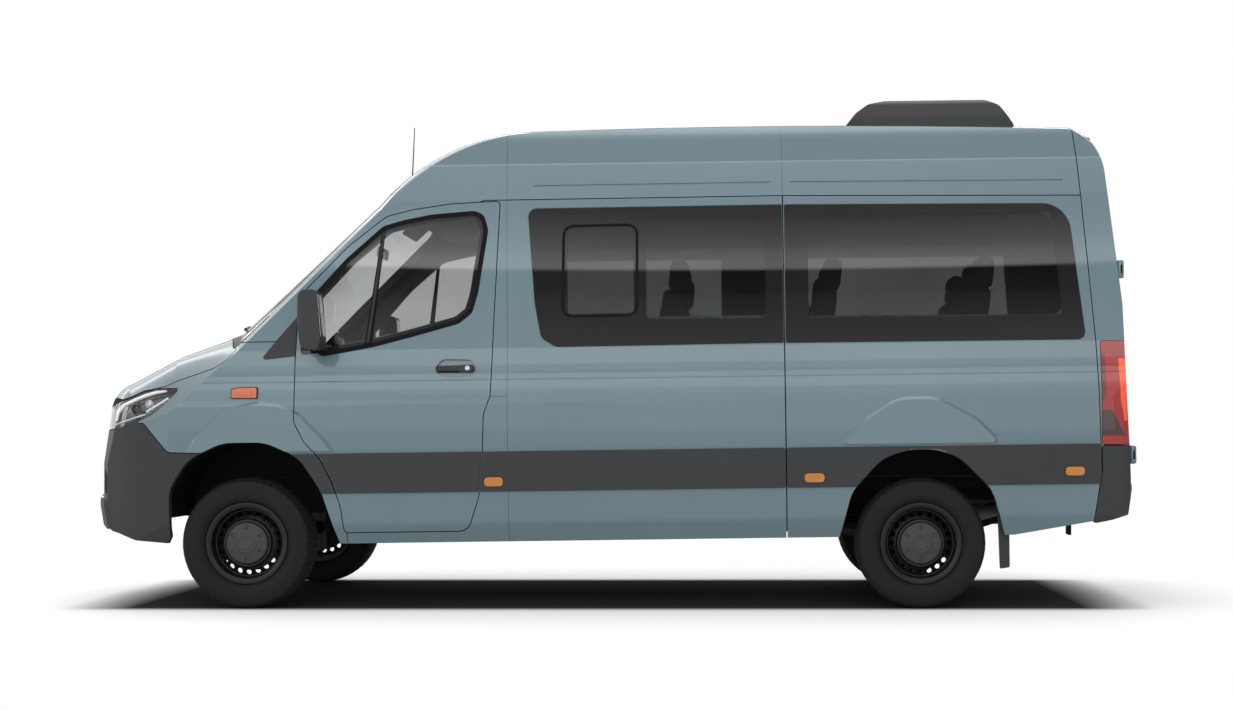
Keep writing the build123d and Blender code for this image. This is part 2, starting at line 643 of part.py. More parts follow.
# ---------------------------------------------------------------- floor, bulkhead and wheel housings
sheet = 12.0
floor_low = hz(floor_height - 40.0)
floor_pan = box(fx(66), fx(4725), -wy(945), wy(945), floor_low, hz(floor_height))
bulkhead = box(fx(30), fx(70), -wy(895), wy(895), floor_low, hz(1375))
housing_front = side_prism(grown(front_arch, sheet), -wy(508), -wy(945)) & box(
    fx(-500), fx(600), -wy(940), -wy(500), hz(500), hz(1000))
housing_rear = side_prism(grown(rear_arch, sheet), -wy(608), -wy(945)) & box(
    fx(3000), fx(4400), -wy(945), -wy(600), hz(600), hz(1000))
housing_space = side_prism(grown(front_arch, sheet + 1.0), -wy(507), -wy(1300))
housing_space = housing_space + side_prism(grown(rear_arch, sheet + 1.0), -wy(607), -wy(1300))
floor_pan = (floor_pan + bulkhead) - housing_space - mirrored(housing_space)
load_board = box(fx(4160), fx(4600), -wy(560), wy(560), hz(floor_height), hz(floor_height) + 6.0)
floor_pan = largest((floor_pan & inner) + load_board)
wheel_housings = [largest((half - arch_space) & inner) for half in (housing_front, housing_rear)]
wheel_housings = wheel_housings + [mirrored(s) for s in wheel_housings]

# ---------------------------------------------------------------- chassis, driveline and axles
rail_low = hz(520)
rail_high = floor_low - 8.0
rails = [box(fx(-740), fx(4700), s * wy(420) - 38, s * wy(420) + 38, rail_low, rail_high) for s in (-1, 1)]
crossings = [box(fx(x) - 40, fx(x) + 40, -wy(420), wy(420), rail_low + 62, rail_high - 10)
             for x in (-700, 980, 1900, 2800, 4600)]
chassis_frame = rails[0] + rails[1]
for crossing in crossings:
    chassis_frame = chassis_frame + crossing
chassis_frame = largest(chassis_frame).rotate(rake_axis, -body_rake)
tow_x = rear_axle_x + 969.0
tow_bracket = box(tow_x, tow_x + 12, -60, 60, 350, 440) + box(tow_x - 40, tow_x + 12, -60, 60, 440, 650)
chassis_frame = largest(chassis_frame + tow_bracket)
for y in (-41.5, 41.5):
    for z in (-28.0, 28.0):
        chassis_frame = chassis_frame - Pos(tow_x + 6, y, 395 + z) * Rot(0, 90, 0) * Cylinder(6.5, 40)
chassis_frame = largest(chassis_frame)
engine_block = box(fx(-560), fx(10), -260, 260, hz(540), hz(1110)) + box(
    fx(0), fx(720), -140, 140, hz(500), rail_high)
engine_block = largest(engine_block)
fuel_tank = box(fx(1480), fx(2240), -wy(850), -wy(500), hz(420), hz(640))
exhaust_y = -wy(330)
long_pipe = Pos(fx(2390), exhaust_y, hz(545)) * Rot(0, 90, 0) * Cylinder(28, 3200)
drop_pipe = Pos(fx(3985), exhaust_y, hz(490)) * Cylinder(30, 110)
silencer = Pos(fx(4190), exhaust_y, hz(430)) * Rot(0, 90, 0) * Cylinder(55, 470)
exhaust = largest(long_pipe + drop_pipe + silencer)


def across(x, y0, y1, z, radius):
    """Round bar along the breadth."""
    return Pos(x, (y0 + y1) / 2, z) * Rot(90, 0, 0) * Cylinder(radius, abs(y1 - y0))


hub_y = track / 2.0
kingpin_y = hub_y - 90.0
brake_radius = 150.0
front_axle = across(front_axle_x, -kingpin_y + 60, kingpin_y - 60, wheel_radius, 42)
front_axle = front_axle + across(front_axle_x, 60, 260, wheel_radius, 105)
rear_axle = across(rear_axle_x, -hub_y + 20, hub_y - 20, wheel_radius, 48)
rear_axle = rear_axle + across(rear_axle_x, -140, 140, wheel_radius, 150)
for s in (-1, 1):
    rear_axle = rear_axle + across(rear_axle_x, s * (hub_y - 8), s * (hub_y + 16), wheel_radius, brake_radius)
    rear_axle = rear_axle + across(rear_axle_x, s * (hub_y - 60), s * (hub_y + 44), wheel_radius, 65)
    spring = [
        (rear_axle_x - 700, wheel_radius + 160, 0), (rear_axle_x - 330, wheel_radius + 50, 400),
        (rear_axle_x + 330, wheel_radius + 50, 400), (rear_axle_x + 700, wheel_radius + 170, 0),
        (rear_axle_x + 700, wheel_radius + 195, 0), (rear_axle_x + 330, wheel_radius + 85, 400),
        (rear_axle_x - 330, wheel_radius + 85, 400), (rear_axle_x - 700, wheel_radius + 185, 0),
    ]
    rear_axle = rear_axle + side_prism(spring, s * 505, s * 575)
    rear_axle = rear_axle + box(rear_axle_x - 60, rear_axle_x + 60, s * 540 - 45, s * 540 + 45,
                                wheel_radius + 20, wheel_radius + 60)
rear_axle = largest(rear_axle)
shaft_front = Vector(fx(760), 0, hz(530))
shaft_rear = Vector(rear_axle_x - 165, 0, wheel_radius + 20)
shaft_plane = Plane(origin=shaft_front, z_dir=(shaft_rear - shaft_front).normalized())
propshaft = extrude(shaft_plane * Circle(38), (shaft_rear - shaft_front).length)

knuckle = across(front_axle_x, -hub_y - 16, -hub_y + 8, wheel_radius, brake_radius)
knuckle = knuckle + across(front_axle_x, -hub_y - 44, -kingpin_y - 10, wheel_radius, 65)
knuckle = knuckle + box(front_axle_x - 45, front_axle_x + 45, -kingpin_y - 45, -kingpin_y + 22,
                        wheel_radius - 130, wheel_radius + 150)
knuckle = knuckle + Pos(front_axle_x, -kingpin_y, wheel_radius + 10) * Cylinder(26, 330)
knuckle_left = largest(knuckle)


def turned(points, x, y, z):
    """Solid of revolution about the breadth through corners (offset outboard of the wheel, radius, fillet)."""
    plane = Plane(origin=(x, y, z), x_dir=(0, -1, 0), z_dir=(1, 0, 0))
    face = rounded(points, plane)
    return revolve(face, Axis((x, y, z), (0, 1, 0)))


tyre_half = tyre_width / 2.0
side_wall = wheel_radius - 203.0
tyre_section = [
    (-80, 203, 0), (80, 203, 0), (80, 226, 8), (tyre_half, 203 + side_wall * 0.52, 60),
    (tyre_half - 6, wheel_radius - 24, 20), (tyre_half - 26, wheel_radius - 3, 14), (0, wheel_radius, 600),
    (-tyre_half + 26, wheel_radius - 3, 14), (-tyre_half + 6, wheel_radius - 24, 20),
    (-tyre_half, 203 + side_wall * 0.52, 60), (-80, 226, 8),
]
rim_section = [
    (-92, rim_radius, 3), (-82, rim_radius, 2), (-82, 203, 2), (82, 203, 2), (82, rim_radius, 2),
    (92, rim_radius, 3), (92, 208, 6), (84, 192, 8), (44, 188, 6), (26, 184, 8), (58, 134, 10), (72, 128, 4),
    (72, 118, 3), (86, 108, 10), (92, 60, 20), (96, 52, 4), (96, 0, 0), (50, 0, 0), (50, 126, 6), (14, 184, 6),
    (14, 193, 4), (-92, 193, 4),
]
rim_left = turned(rim_section, 0, 0, 0)
vent_count = 20
vent_ring = 158.0
for i in range(vent_count):
    a = 2 * math.pi * i / vent_count
    rim_left = rim_left - across(vent_ring * math.cos(a), -75, 20, vent_ring * math.sin(a), 14.0)
nut_ring = 86.0
for i in range(6):
    a = math.pi / 6 + math.pi * i / 3
    pocket = Pos(nut_ring * math.cos(a), -92, nut_ring * math.sin(a)) * Rot(0, -math.degrees(a), 0) * Box(26, 20, 17)
    rim_left = rim_left - pocket
rim_left = largest(rim_left)
tyre_left = turned(tyre_section, 0, 0, 0)

# ---------------------------------------------------------------- cab and seats
dashboard = side_prism(side([
    (78, 1010, 30), (300, 1010, 60), (390, 1130, 60), (425, 1280, 60), (340, 1390, 50), (130, 1402, 50), (78, 1380, 20),
]), -wy(868), wy(868))
wheel_centre = (fx(560), -wy(470), hz(1325))
wheel_tilt = Plane(origin=wheel_centre, x_dir=(0, 1, 0), z_dir=(0.5, 0, 0.866))
steering_wheel = wheel_tilt * Torus(185, 14)
steering_wheel = steering_wheel + wheel_tilt * Pos(0, 0, -20) * Box(350, 60, 22)
steering_wheel = steering_wheel + wheel_tilt * Pos(0, 0, -20) * Cylinder(70, 34)
steering_column = (wheel_tilt * Pos(0, 0, -150) * Cylinder(32, 230)) - dashboard
steering_wheel = largest(steering_wheel + largest(steering_column))


def seat(x, y0, y1, base0, base1):
    """Seat facing forward: cushion front at x, side to side y0..y1, on a base base0..base1."""
    f = hz(floor_height)
    cushion = side_prism([
        (x, f + 320, 30), (x + 480, f + 290, 20), (x + 480, f + 400, 20), (x + 30, f + 440, 50),
    ], y0, y1)
    back = side_prism([
        (x + 430, f + 300, 20), (x + 560, f + 300, 40), (x + 680, f + 1010, 40), (x + 585, f + 1020, 40),
        (x + 455, f + 420, 60),
    ], y0, y1)
    middle = (y0 + y1) / 2
    rest = side_prism([
        (x + 600, f + 1040, 30), (x + 690, f + 1040, 30), (x + 700, f + 1180, 40), (x + 625, f + 1185, 40),
    ], middle - 140, middle + 140)
    post = box(x + 625, x + 655, middle - 60, middle + 60, f + 990, f + 1060)
    base = box(x + 60, x + 440, base0, base1, f, f + 320)
    return largest(cushion + back + rest + post + base)


front_seats = [
    seat(fx(740), -wy(720), -wy(220), -wy(650), -wy(290)),
    seat(fx(740), wy(20), wy(400), wy(90), wy(390)),
    seat(fx(740), wy(412), wy(800), wy(420), wy(690)),
]
row_stations = (1706.0, 2556.0, 3400.0)
# One row: seat side to side, then its base side to side.
row_seats = [(-870, -460, -590, -470), (-450, -40, -440, -140), (390, 800, 400, 590)]
passenger_seats = []
for x in row_stations:
    for y0, y1, base0, base1 in row_seats:
        passenger_seats.append(seat(fx(x), wy(y0), wy(y1), wy(base0), wy(base1)))

# ---------------------------------------------------------------- roof unit
roof_unit = side_prism(side([
    (3309, 2600, 0), (3309, 2660, 20), (3372, 2738, 60), (3445, 2791, 60), (3544, 2811, 120), (4110, 2811, 90),
    (4190, 2776, 60), (4268, 2660, 20), (4268, 2600, 0),
]), -wy(520), wy(520))
roof_unit_section = end_prism([
    (-wy(478), hz(2580), 0), (-wy(474), hz(2712), 30), (-wy(436), hz(2800), 60), (-wy(372), hz(2840), 0),
    (wy(372), hz(2840), 0), (wy(436), hz(2800), 60), (wy(474), hz(2712), 30), (wy(478), hz(2580), 0),
], fx(3200), fx(4400))
roof_unit = largest((roof_unit - outer) & roof_unit_section)

# ---------------------------------------------------------------- nodes
save(floor_pan, "floor_pan")
save(Compound(children=wheel_housings), "wheel_housings")
save(roof, "roof_panel")
save(screen, "windscreen")
save(front_wings, "front_wings")
save(Compound(children=[front_flank_left, rear_flank, front_flank_right, mirrored(rear_flank)]), "side_panels")
save(rear_frame, "rear_frame")
save(Compound(children=panes_left + panes_right), "side_windows")
save(front_bumper, "front_bumper")
save(Compound(children=[grille, cowl]), "grille_and_cowl")
save(Compound(children=lamp_pair), "headlamps")
save(tail_lamps, "tail_lamps")
save(rear_bumper, "rear_bumper")
save(Compound(children=mouldings_left + mouldings_right), "side_mouldings")
save(sliding_door, "sliding_door")
save(chassis_frame, "chassis_frame", False)
save(Compound(children=[engine_block, radiator]), "engine_block")
save(Compound(children=[fuel_tank, exhaust]), "tank_and_exhaust")
save(dashboard, "dashboard")
save(steering_wheel, "steering_wheel")
save(Compound(children=front_seats), "front_seats")
save(Compound(children=passenger_seats), "passenger_seats")
save(roof_unit, "roof_air_conditioner")
save(bonnet, "bonnet")
for hand, flip in (("left", False), ("right", True)):
    def sided(shape):
        return mirrored(shape) if flip else shape
    save(sided(front_door_left), "front_door_" + hand)
    save(sided(front_door_glass_left), "front_door_glass_" + hand)
    save(sided(front_trim_left), "front_door_trim_" + hand)
    save(sided(rear_door_left), "rear_door_" + hand)
    save(sided(rear_glass_left), "rear_door_glass_" + hand)
    save(sided(knuckle_left), "knuckle_" + hand, False)
    for end, x in (("front", front_axle_x), ("rear", rear_axle_x)):
        save(Pos(x, 0, wheel_radius) * sided(Pos(0, -hub_y, 0) * rim_left), "rim_" + end + "_" + hand, False)
        save(Pos(x, 0, wheel_radius) * sided(Pos(0, -hub_y, 0) * tyre_left), "tyre_" + end + "_" + hand, False)
save(front_axle, "front_axle", False)
save(rear_axle, "rear_axle", False)
save(propshaft, "propshaft", False)
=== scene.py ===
import math

import bmesh
import bpy
from mathutils import Matrix, Vector
from mathutils.bvhtree import BVHTree
from mathutils.geometry import delaunay_2d_cdt


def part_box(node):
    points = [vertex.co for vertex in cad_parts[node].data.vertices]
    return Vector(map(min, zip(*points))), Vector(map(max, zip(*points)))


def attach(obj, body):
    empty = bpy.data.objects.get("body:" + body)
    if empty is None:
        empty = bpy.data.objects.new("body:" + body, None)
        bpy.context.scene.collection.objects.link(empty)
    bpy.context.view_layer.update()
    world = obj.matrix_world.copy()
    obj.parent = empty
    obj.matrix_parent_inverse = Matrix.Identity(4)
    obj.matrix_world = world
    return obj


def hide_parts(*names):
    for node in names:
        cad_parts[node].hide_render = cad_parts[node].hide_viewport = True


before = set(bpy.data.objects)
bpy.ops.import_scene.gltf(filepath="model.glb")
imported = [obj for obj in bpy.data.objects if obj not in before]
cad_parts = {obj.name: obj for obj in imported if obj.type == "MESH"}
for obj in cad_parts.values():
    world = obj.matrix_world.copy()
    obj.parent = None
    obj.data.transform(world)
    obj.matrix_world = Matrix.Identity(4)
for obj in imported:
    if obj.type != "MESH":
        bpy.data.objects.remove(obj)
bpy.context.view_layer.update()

# ---- places
# The model's frame is in metres. Numbers on the body are millimetres behind the front axle, from the centre line
# and up, on the body before it is raked; at() turns them into the model's frame.
FRONT_AXLE = -1.962
REAR_AXLE = 1.703
WHEEL_Z = 0.356
TYRE_RADIUS = 0.356
HUB_Y = 0.860
RAKE = math.radians(0.75)
RAKE_SLOPE = 13.1e-3
PIVOT_Z = 0.580
SIDES = (("left", -1), ("right", 1))
WHEELS = [(end + "_" + hand, side, axle) for hand, side in SIDES
          for end, axle in (("front", FRONT_AXLE), ("rear", REAR_AXLE))]
FAR_SIDE = 1600.0   # rays to the flanks start here
FAR_NOSE = -1600.0  # and those to the ends here
FAR_TAIL = 5600.0


def at(x, y, z):
    """A point on the body, in the model's frame."""
    dx = x / 1000.0
    dz = z / 1000.0 - PIVOT_Z
    c = math.cos(RAKE)
    s = math.sin(RAKE)
    return Vector((FRONT_AXLE + dx * c - dz * s, y / 1000.0, PIVOT_Z + dx * s + dz * c))


def span(side, a, b):
    """Two breadths of one side, the lower one first."""
    return sorted((side * a, side * b))


# ---- shader nodes
def put(net, socket, value):
    """Set an input to a constant, or link it to another socket."""
    if isinstance(value, bpy.types.NodeSocket):
        net.links.new(value, socket)
    else:
        socket.default_value = value


def fill(net, n, **values):
    """Put values in a node's inputs, named with _ for a space."""
    for name, value in values.items():
        put(net, n.inputs[name.replace("_", " ")], value)
    return n


def node(net, kind, **values):
    return fill(net, net.nodes.new("ShaderNode" + kind), **values)


def new_material(name):
    m = bpy.data.materials.new(name)
    m.use_nodes = True
    return m, m.node_tree, m.node_tree.nodes["Principled BSDF"]


def show(net, shader):
    net.links.new(shader, net.nodes["Material Output"].inputs["Surface"])


def coordinates(net):
    return node(net, "TexCoord").outputs["Object"]


def split_xyz(net, vector):
    n = node(net, "SeparateXYZ", Vector=vector)
    return n.outputs["X"], n.outputs["Y"], n.outputs["Z"]


def body_frame(net):
    """Position on the body, its rake undone, in metres: behind the front axle, across and up."""
    c = math.cos(RAKE)
    s = math.sin(RAKE)
    level = node(net, "Mapping", Vector=coordinates(net), Rotation=(0, RAKE, 0),
                 Location=(-c * FRONT_AXLE - s * PIVOT_Z, 0, PIVOT_Z + s * FRONT_AXLE - c * PIVOT_Z))
    return split_xyz(net, level.outputs["Vector"])


def calc(net, operation, *values):
    n = node(net, "Math")
    n.operation = operation
    for socket, value in zip(n.inputs, values):
        put(net, socket, value)
    return n.outputs["Value"]


def step(net, value, low, high):
    """0 at low, 1 at high, and between them a straight line."""
    return node(net, "MapRange", Value=value, From_Min=low, From_Max=high).outputs["Result"]


def spread(net, fac, low, high):
    """low at 0, high at 1, and between them a straight line."""
    return node(net, "MapRange", Value=fac, To_Min=low, To_Max=high).outputs["Result"]


def inside(net, across, up, outline, soft=0.0, inset=0.0):
    """1 inside a convex outline in millimetres, drawn in by the inset, and 0 outside it."""
    blur = 0.0015
    pts = [(u / 1000.0, v / 1000.0) for u, v in outline]
    turn = sum(a[0] * b[1] - b[0] * a[1] for a, b in zip(pts, pts[1:] + pts[:1]))
    if turn < 0:
        pts.reverse()
    worst = None
    for a, b in zip(pts, pts[1:] + pts[:1]):
        length = math.dist(a, b)
        nu = (b[1] - a[1]) / length
        nv = (a[0] - b[0]) / length
        along = calc(net, "MULTIPLY_ADD", up, nv, -(nu * a[0] + nv * a[1]) + inset)
        distance = calc(net, "MULTIPLY_ADD", across, nu, along)
        if worst is None:
            worst = distance
        elif soft:
            worst = calc(net, "SMOOTH_MAX", worst, distance, soft)
        else:
            worst = calc(net, "MAXIMUM", worst, distance)
    return step(net, worst, blur, -blur)


def noise(net, vector, scale, detail=3.0, roughness=0.5):
    return node(net, "TexNoise", Vector=vector, Scale=scale, Detail=detail, Roughness=roughness).outputs["Fac"]


def ramp(net, fac, stops):
    r = node(net, "ValToRGB", Fac=fac)
    e = r.color_ramp.elements
    while len(e) < len(stops):
        e.new(0.5)
    for i, (position, color) in enumerate(stops):
        e[i].position = position
        e[i].color = (*color, 1.0)
    return r.outputs["Color"]


def shades(net, fac, color, vary):
    """Darker and lighter shades of one colour."""
    low = tuple(c * (1 - vary) for c in color)
    high = tuple(min(1.0, c * (1 + vary)) for c in color)
    return ramp(net, fac, [(0.3, low), (0.7, high)])


def blend_colors(net, fac, a, b):
    """Mix of two colours, each a socket or a tuple."""
    m = node(net, "Mix", Factor=fac)
    m.data_type = "RGBA"
    for socket, color in ((m.inputs[6], a), (m.inputs[7], b)):
        put(net, socket, (*color, 1.0) if isinstance(color, tuple) else color)
    return m.outputs[2]


def mix_shaders(net, fac, a, b):
    m = node(net, "MixShader", Fac=fac)
    net.links.new(a, m.inputs[1])
    net.links.new(b, m.inputs[2])
    return m.outputs["Shader"]


def bump(net, height, shader, strength, distance):
    b = node(net, "Bump", Strength=strength, Distance=distance, Height=height)
    fill(net, shader, Normal=b.outputs["Normal"])


# ---- materials
def surface(net, shader, color, vary, rough, grain, depth):
    """Broad colour variation, and a fine grain in roughness and relief, on one shader."""
    where = coordinates(net)
    fine = noise(net, where, grain, 4.0, 0.6)
    fill(net, shader, Base_Color=shades(net, noise(net, where, 2.3, 4.0), color, vary),
         Roughness=spread(net, fine, rough * 0.88, min(1.0, rough * 1.12)))
    bump(net, fine, shader, 0.6, depth)


def grained(name, color, vary, rough, grain, depth, metallic=0.0, coat=0.0, coat_rough=0.05, specular=0.5):
    m, net, shader = new_material(name)
    surface(net, shader, color, vary, rough, grain, depth)
    fill(net, shader, Metallic=metallic, Coat_Weight=coat, Coat_Roughness=coat_rough, Specular_IOR_Level=specular)
    return m


def lined_paint(name):
    """Metallic paint outside; inside the body, where the faces look inward, a dark grey lining."""
    m, net, shader = new_material(name)
    where = coordinates(net)
    flake = node(net, "TexVoronoi", Vector=where, Scale=900.0)
    mottle = calc(net, "MULTIPLY_ADD", flake.outputs["Distance"], 0.18, noise(net, where, 1.1, 3.0))
    fill(net, shader, Base_Color=ramp(net, mottle, [(0.30, PAINT_LOW), (0.80, PAINT_HIGH)]),
         Roughness=0.36, Metallic=0.35, Coat_Weight=1.0, Coat_Roughness=0.03)
    bump(net, noise(net, where, 160.0, 2.0), shader, 0.12, 0.0003)
    lining = node(net, "BsdfPrincipled")
    surface(net, lining, (0.045, 0.045, 0.047), 0.08, 0.8, 500.0, 0.0004)
    # A face looks inward where its normal points back to the middle of the body.
    place = node(net, "TexCoord")
    arm = node(net, "Mapping", Vector=place.outputs["Object"], Scale=(0.3, 1, 1), Location=(0, 0, -1.4))
    dot = node(net, "VectorMath")
    dot.operation = "DOT_PRODUCT"
    put(net, dot.inputs[0], arm.outputs["Vector"])
    put(net, dot.inputs[1], place.outputs["Normal"])
    inner = step(net, dot.outputs["Value"], -0.48, -0.52)
    show(net, mix_shaders(net, inner, shader.outputs["BSDF"], lining.outputs["BSDF"]))
    return m


def clear_sides(net, left, right, soft, inset=0.0):
    """1 inside the outlines (x, z) of the left side and of the right side."""
    x, y, z = body_frame(net)
    right_hand = step(net, y, -0.001, 0.001)
    left_hand = calc(net, "SUBTRACT", 1.0, right_hand)
    seen = 0.0
    for outlines, hand in ((left, left_hand), (right, right_hand)):
        for outline in outlines:
            seen = calc(net, "MULTIPLY_ADD", inside(net, x, z, outline, soft, inset), hand, seen)
    return seen


def clear_tail(net):
    """1 inside the two panes of the rear doors, within the ledge they sit on."""
    low, high = ([1000 * v for v in corner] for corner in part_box("rear_door_glass_left"))
    _, y, z = split_xyz(net, coordinates(net))
    outline = [(-high[1], low[2]), (-low[1], low[2]), (-low[1] - 48, high[2] - 38), (-high[1], high[2])]
    return inside(net, calc(net, "ABSOLUTE", y), z, outline, 0.03, 0.048)


def pane(name, tint, clear_part=None):
    """Glass: part of the light passes straight through, the rest reflects. Outside the clear part it is black print.

    Each pane has two faces, so each face passes the square root of the tint.
    """
    face_on = 0.042  # the part reflected by glass seen face on; edge on it is face_on + edge_on
    edge_on = 0.96
    m, net, shader = new_material(name)
    haze = noise(net, coordinates(net), 3.0, 2.0)
    through = node(net, "BsdfTransparent", Color=shades(net, haze, tuple(math.sqrt(c) for c in tint), 0.03))
    gloss = node(net, "BsdfGlossy", Roughness=0.0, Color=(1, 1, 1, 1))
    facing = node(net, "LayerWeight", Blend=0.5).outputs["Facing"]
    mirrored = calc(net, "MULTIPLY_ADD", calc(net, "POWER", facing, 5.0), edge_on, face_on)
    glass = mix_shaders(net, mirrored, through.outputs["BSDF"], gloss.outputs["BSDF"])
    if clear_part is None:
        net.nodes.remove(shader)
    else:
        ink = noise(net, coordinates(net), 4.0)
        stops = [(0.3, (0.0095, 0.0095, 0.0097)), (0.7, (0.0115, 0.0115, 0.0117))]
        fill(net, shader, Base_Color=ramp(net, ink, stops), Roughness=0.015)
        glass = mix_shaders(net, clear_part(net), shader.outputs["BSDF"], glass)
    show(net, glass)
    return m


def wheel_disc(name, axle):
    """Satin black rim with a grey cap inside the ring of holes."""
    cap_radius = 0.113
    edge = 0.0005
    m, net, shader = new_material(name)
    surface(net, shader, (0.010, 0.010, 0.011), 0.08, 0.30, 260.0, 0.0002)
    x, y, z = split_xyz(net, coordinates(net))
    dx = calc(net, "SUBTRACT", x, axle)
    dz = calc(net, "SUBTRACT", z, WHEEL_Z)
    radius = calc(net, "SQRT", calc(net, "MULTIPLY_ADD", dx, dx, calc(net, "MULTIPLY", dz, dz)))
    near = step(net, radius, cap_radius + edge, cap_radius - edge)
    outboard = step(net, calc(net, "ABSOLUTE", y), HUB_Y + 0.066, HUB_Y + 0.068)
    cap = calc(net, "MULTIPLY", near, outboard)
    fill(net, shader, Base_Color=blend_colors(net, cap, (0.0055, 0.0055, 0.006), (0.036, 0.037, 0.039)),
         Roughness=spread(net, cap, 0.28, 0.52))
    return m


def rear_lens(name):
    """Red lamp: dark fluted end, a bright edge strip that is a painted glow, and a dark lower block."""
    flute_pitch = 0.0085
    m, net, shader = new_material(name)
    x, _, z = body_frame(net)
    tone = ramp(net, noise(net, coordinates(net), 9.0, 3.0),
                [(0.3, (0.26, 0.006, 0.010)), (0.7, (0.34, 0.010, 0.014))])
    lower_block = inside(net, x, z, [(4600, 1020), (4700, 1020), (4772, 880), (4600, 880)])
    tone = blend_colors(net, lower_block, tone, (0.050, 0.016, 0.018))
    fluted = inside(net, x, z, [(4600, 1330), (4672, 1330), (4672, 1110), (4640, 1050), (4600, 1050)])
    wave = calc(net, "SINE", calc(net, "MULTIPLY", z, 2 * math.pi / flute_pitch))
    ribs = calc(net, "MULTIPLY", fluted, step(net, wave, -0.2, 0.2))
    tone = blend_colors(net, ribs, tone, (0.035, 0.004, 0.005))
    # Painted glow: a bright red strip along the lens's rear edge, put into the base colour.
    strip = inside(net, x, z, [(4742, 1300), (4778, 1300), (4782, 960), (4768, 960), (4748, 1080)])
    tone = blend_colors(net, strip, tone, (0.90, 0.085, 0.010))
    fill(net, shader, Base_Color=tone, Roughness=0.25, Coat_Weight=1.0, Coat_Roughness=0.02)
    bump(net, ribs, shader, 0.3, 0.001)
    return m


PAINT_LOW = (0.121, 0.186, 0.214)
PAINT_HIGH = (0.134, 0.202, 0.232)
PRIVACY_TINT = (0.23, 0.232, 0.235)
DOOR_GLASS = [
    (418, 1377), (699, 1426), (918, 1481), (1157, 1546), (1225, 1599), (1257, 1703), (1313, 2046), (1293, 2120),
    (1252, 2141), (1021, 2124), (864, 2094), (759, 2064), (559, 1889), (285, 1589),
]
CLEAR_LEFT = [
    [(1756, 1580), (2117, 1580), (2117, 2050), (1756, 2050)],
    [(2186, 1545), (2835, 1545), (2835, 2105), (2186, 2105)],
    [(3068, 1540), (4450, 1540), (4395, 2110), (3068, 2110)],
]
CLEAR_RIGHT = [
    [(1570, 1560), (2580, 1560), (2580, 2090), (1570, 2090)],
    [(3030, 1550), (4440, 1550), (4395, 2122), (3030, 2122)],
]
paint = lined_paint("blue_grey_paint")
plastic = grained("grey_plastic", (0.030, 0.031, 0.032), 0.06, 0.50, 900.0, 0.0004, specular=0.4)
black = grained("black_plastic", (0.012, 0.012, 0.013), 0.08, 0.42, 700.0, 0.0003)
seal = grained("black_seal", (0.0035, 0.0035, 0.0035), 0.08, 0.60, 500.0, 0.0003, specular=0.18)
gloss_black = grained("gloss_black", (0.010, 0.010, 0.011), 0.05, 0.12, 300.0, 0.0001, coat=0.6)
rubber = grained("tyre_rubber", (0.0115, 0.0115, 0.012), 0.15, 0.70, 500.0, 0.0006, specular=0.25)
underbody = grained("underbody", (0.005, 0.005, 0.0054), 0.2, 0.75, 60.0, 0.001, specular=0.2)
cast = grained("cast_iron", (0.06, 0.06, 0.062), 0.2, 0.6, 220.0, 0.0012, metallic=0.4)
pipe_steel = grained("exhaust_steel", (0.20, 0.20, 0.20), 0.15, 0.45, 160.0, 0.0004, metallic=0.7)
trim_dark = grained("cabin_plastic", (0.022, 0.022, 0.024), 0.08, 0.6, 600.0, 0.0004)
trim_grey = grained("cabin_grey", (0.090, 0.090, 0.094), 0.08, 0.6, 600.0, 0.0004)
cloth = grained("seat_cloth", (0.020, 0.020, 0.023), 0.12, 0.92, 1400.0, 0.0010)
vinyl = grained("floor_vinyl", (0.05, 0.05, 0.052), 0.08, 0.7, 400.0, 0.0006)
chrome = grained("bright_metal", (0.75, 0.76, 0.78), 0.04, 0.10, 120.0, 0.0001, metallic=1.0)
silver = grained("silver_plastic", (0.55, 0.57, 0.58), 0.04, 0.30, 120.0, 0.0001)
light_bar = grained("light_bar", (0.92, 0.93, 0.94), 0.02, 0.35, 200.0, 0.0001)
red_plastic = grained("red_reflector", (0.33, 0.012, 0.014), 0.1, 0.15, 200.0, 0.0003, coat=1.0)
amber = grained("amber_lens", (0.46, 0.17, 0.02), 0.08, 0.25, 200.0, 0.0003, coat=0.6)
orange = grained("orange_lens", (0.50, 0.115, 0.035), 0.08, 0.25, 200.0, 0.0003, coat=0.6)
cap_grey = grained("cap_grey", (0.040, 0.041, 0.043), 0.05, 0.5, 800.0, 0.0003)
shell_black = grained("shell_black", (0.013, 0.0135, 0.0145), 0.08, 0.34, 500.0, 0.0002, coat=0.5, coat_rough=0.12)
side_glass = pane("privacy_glass", PRIVACY_TINT, lambda net: clear_sides(net, CLEAR_LEFT, CLEAR_RIGHT, 0.03))
rear_glass = pane("rear_glass", PRIVACY_TINT, clear_tail)
cab_glass = pane("cab_glass", (0.575, 0.58, 0.58),
                 lambda net: clear_sides(net, [DOOR_GLASS], [DOOR_GLASS], 0.006, 0.030))
screen_glass = pane("screen_glass", (0.76, 0.78, 0.78))
lens = pane("clear_lens", (0.90, 0.91, 0.92))
tail_lens = rear_lens("tail_lens")


def dress(names, material):
    """Give the named CAD nodes their material."""
    for name in names.split():
        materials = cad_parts[name].data.materials
        materials.clear()
        materials.append(material)


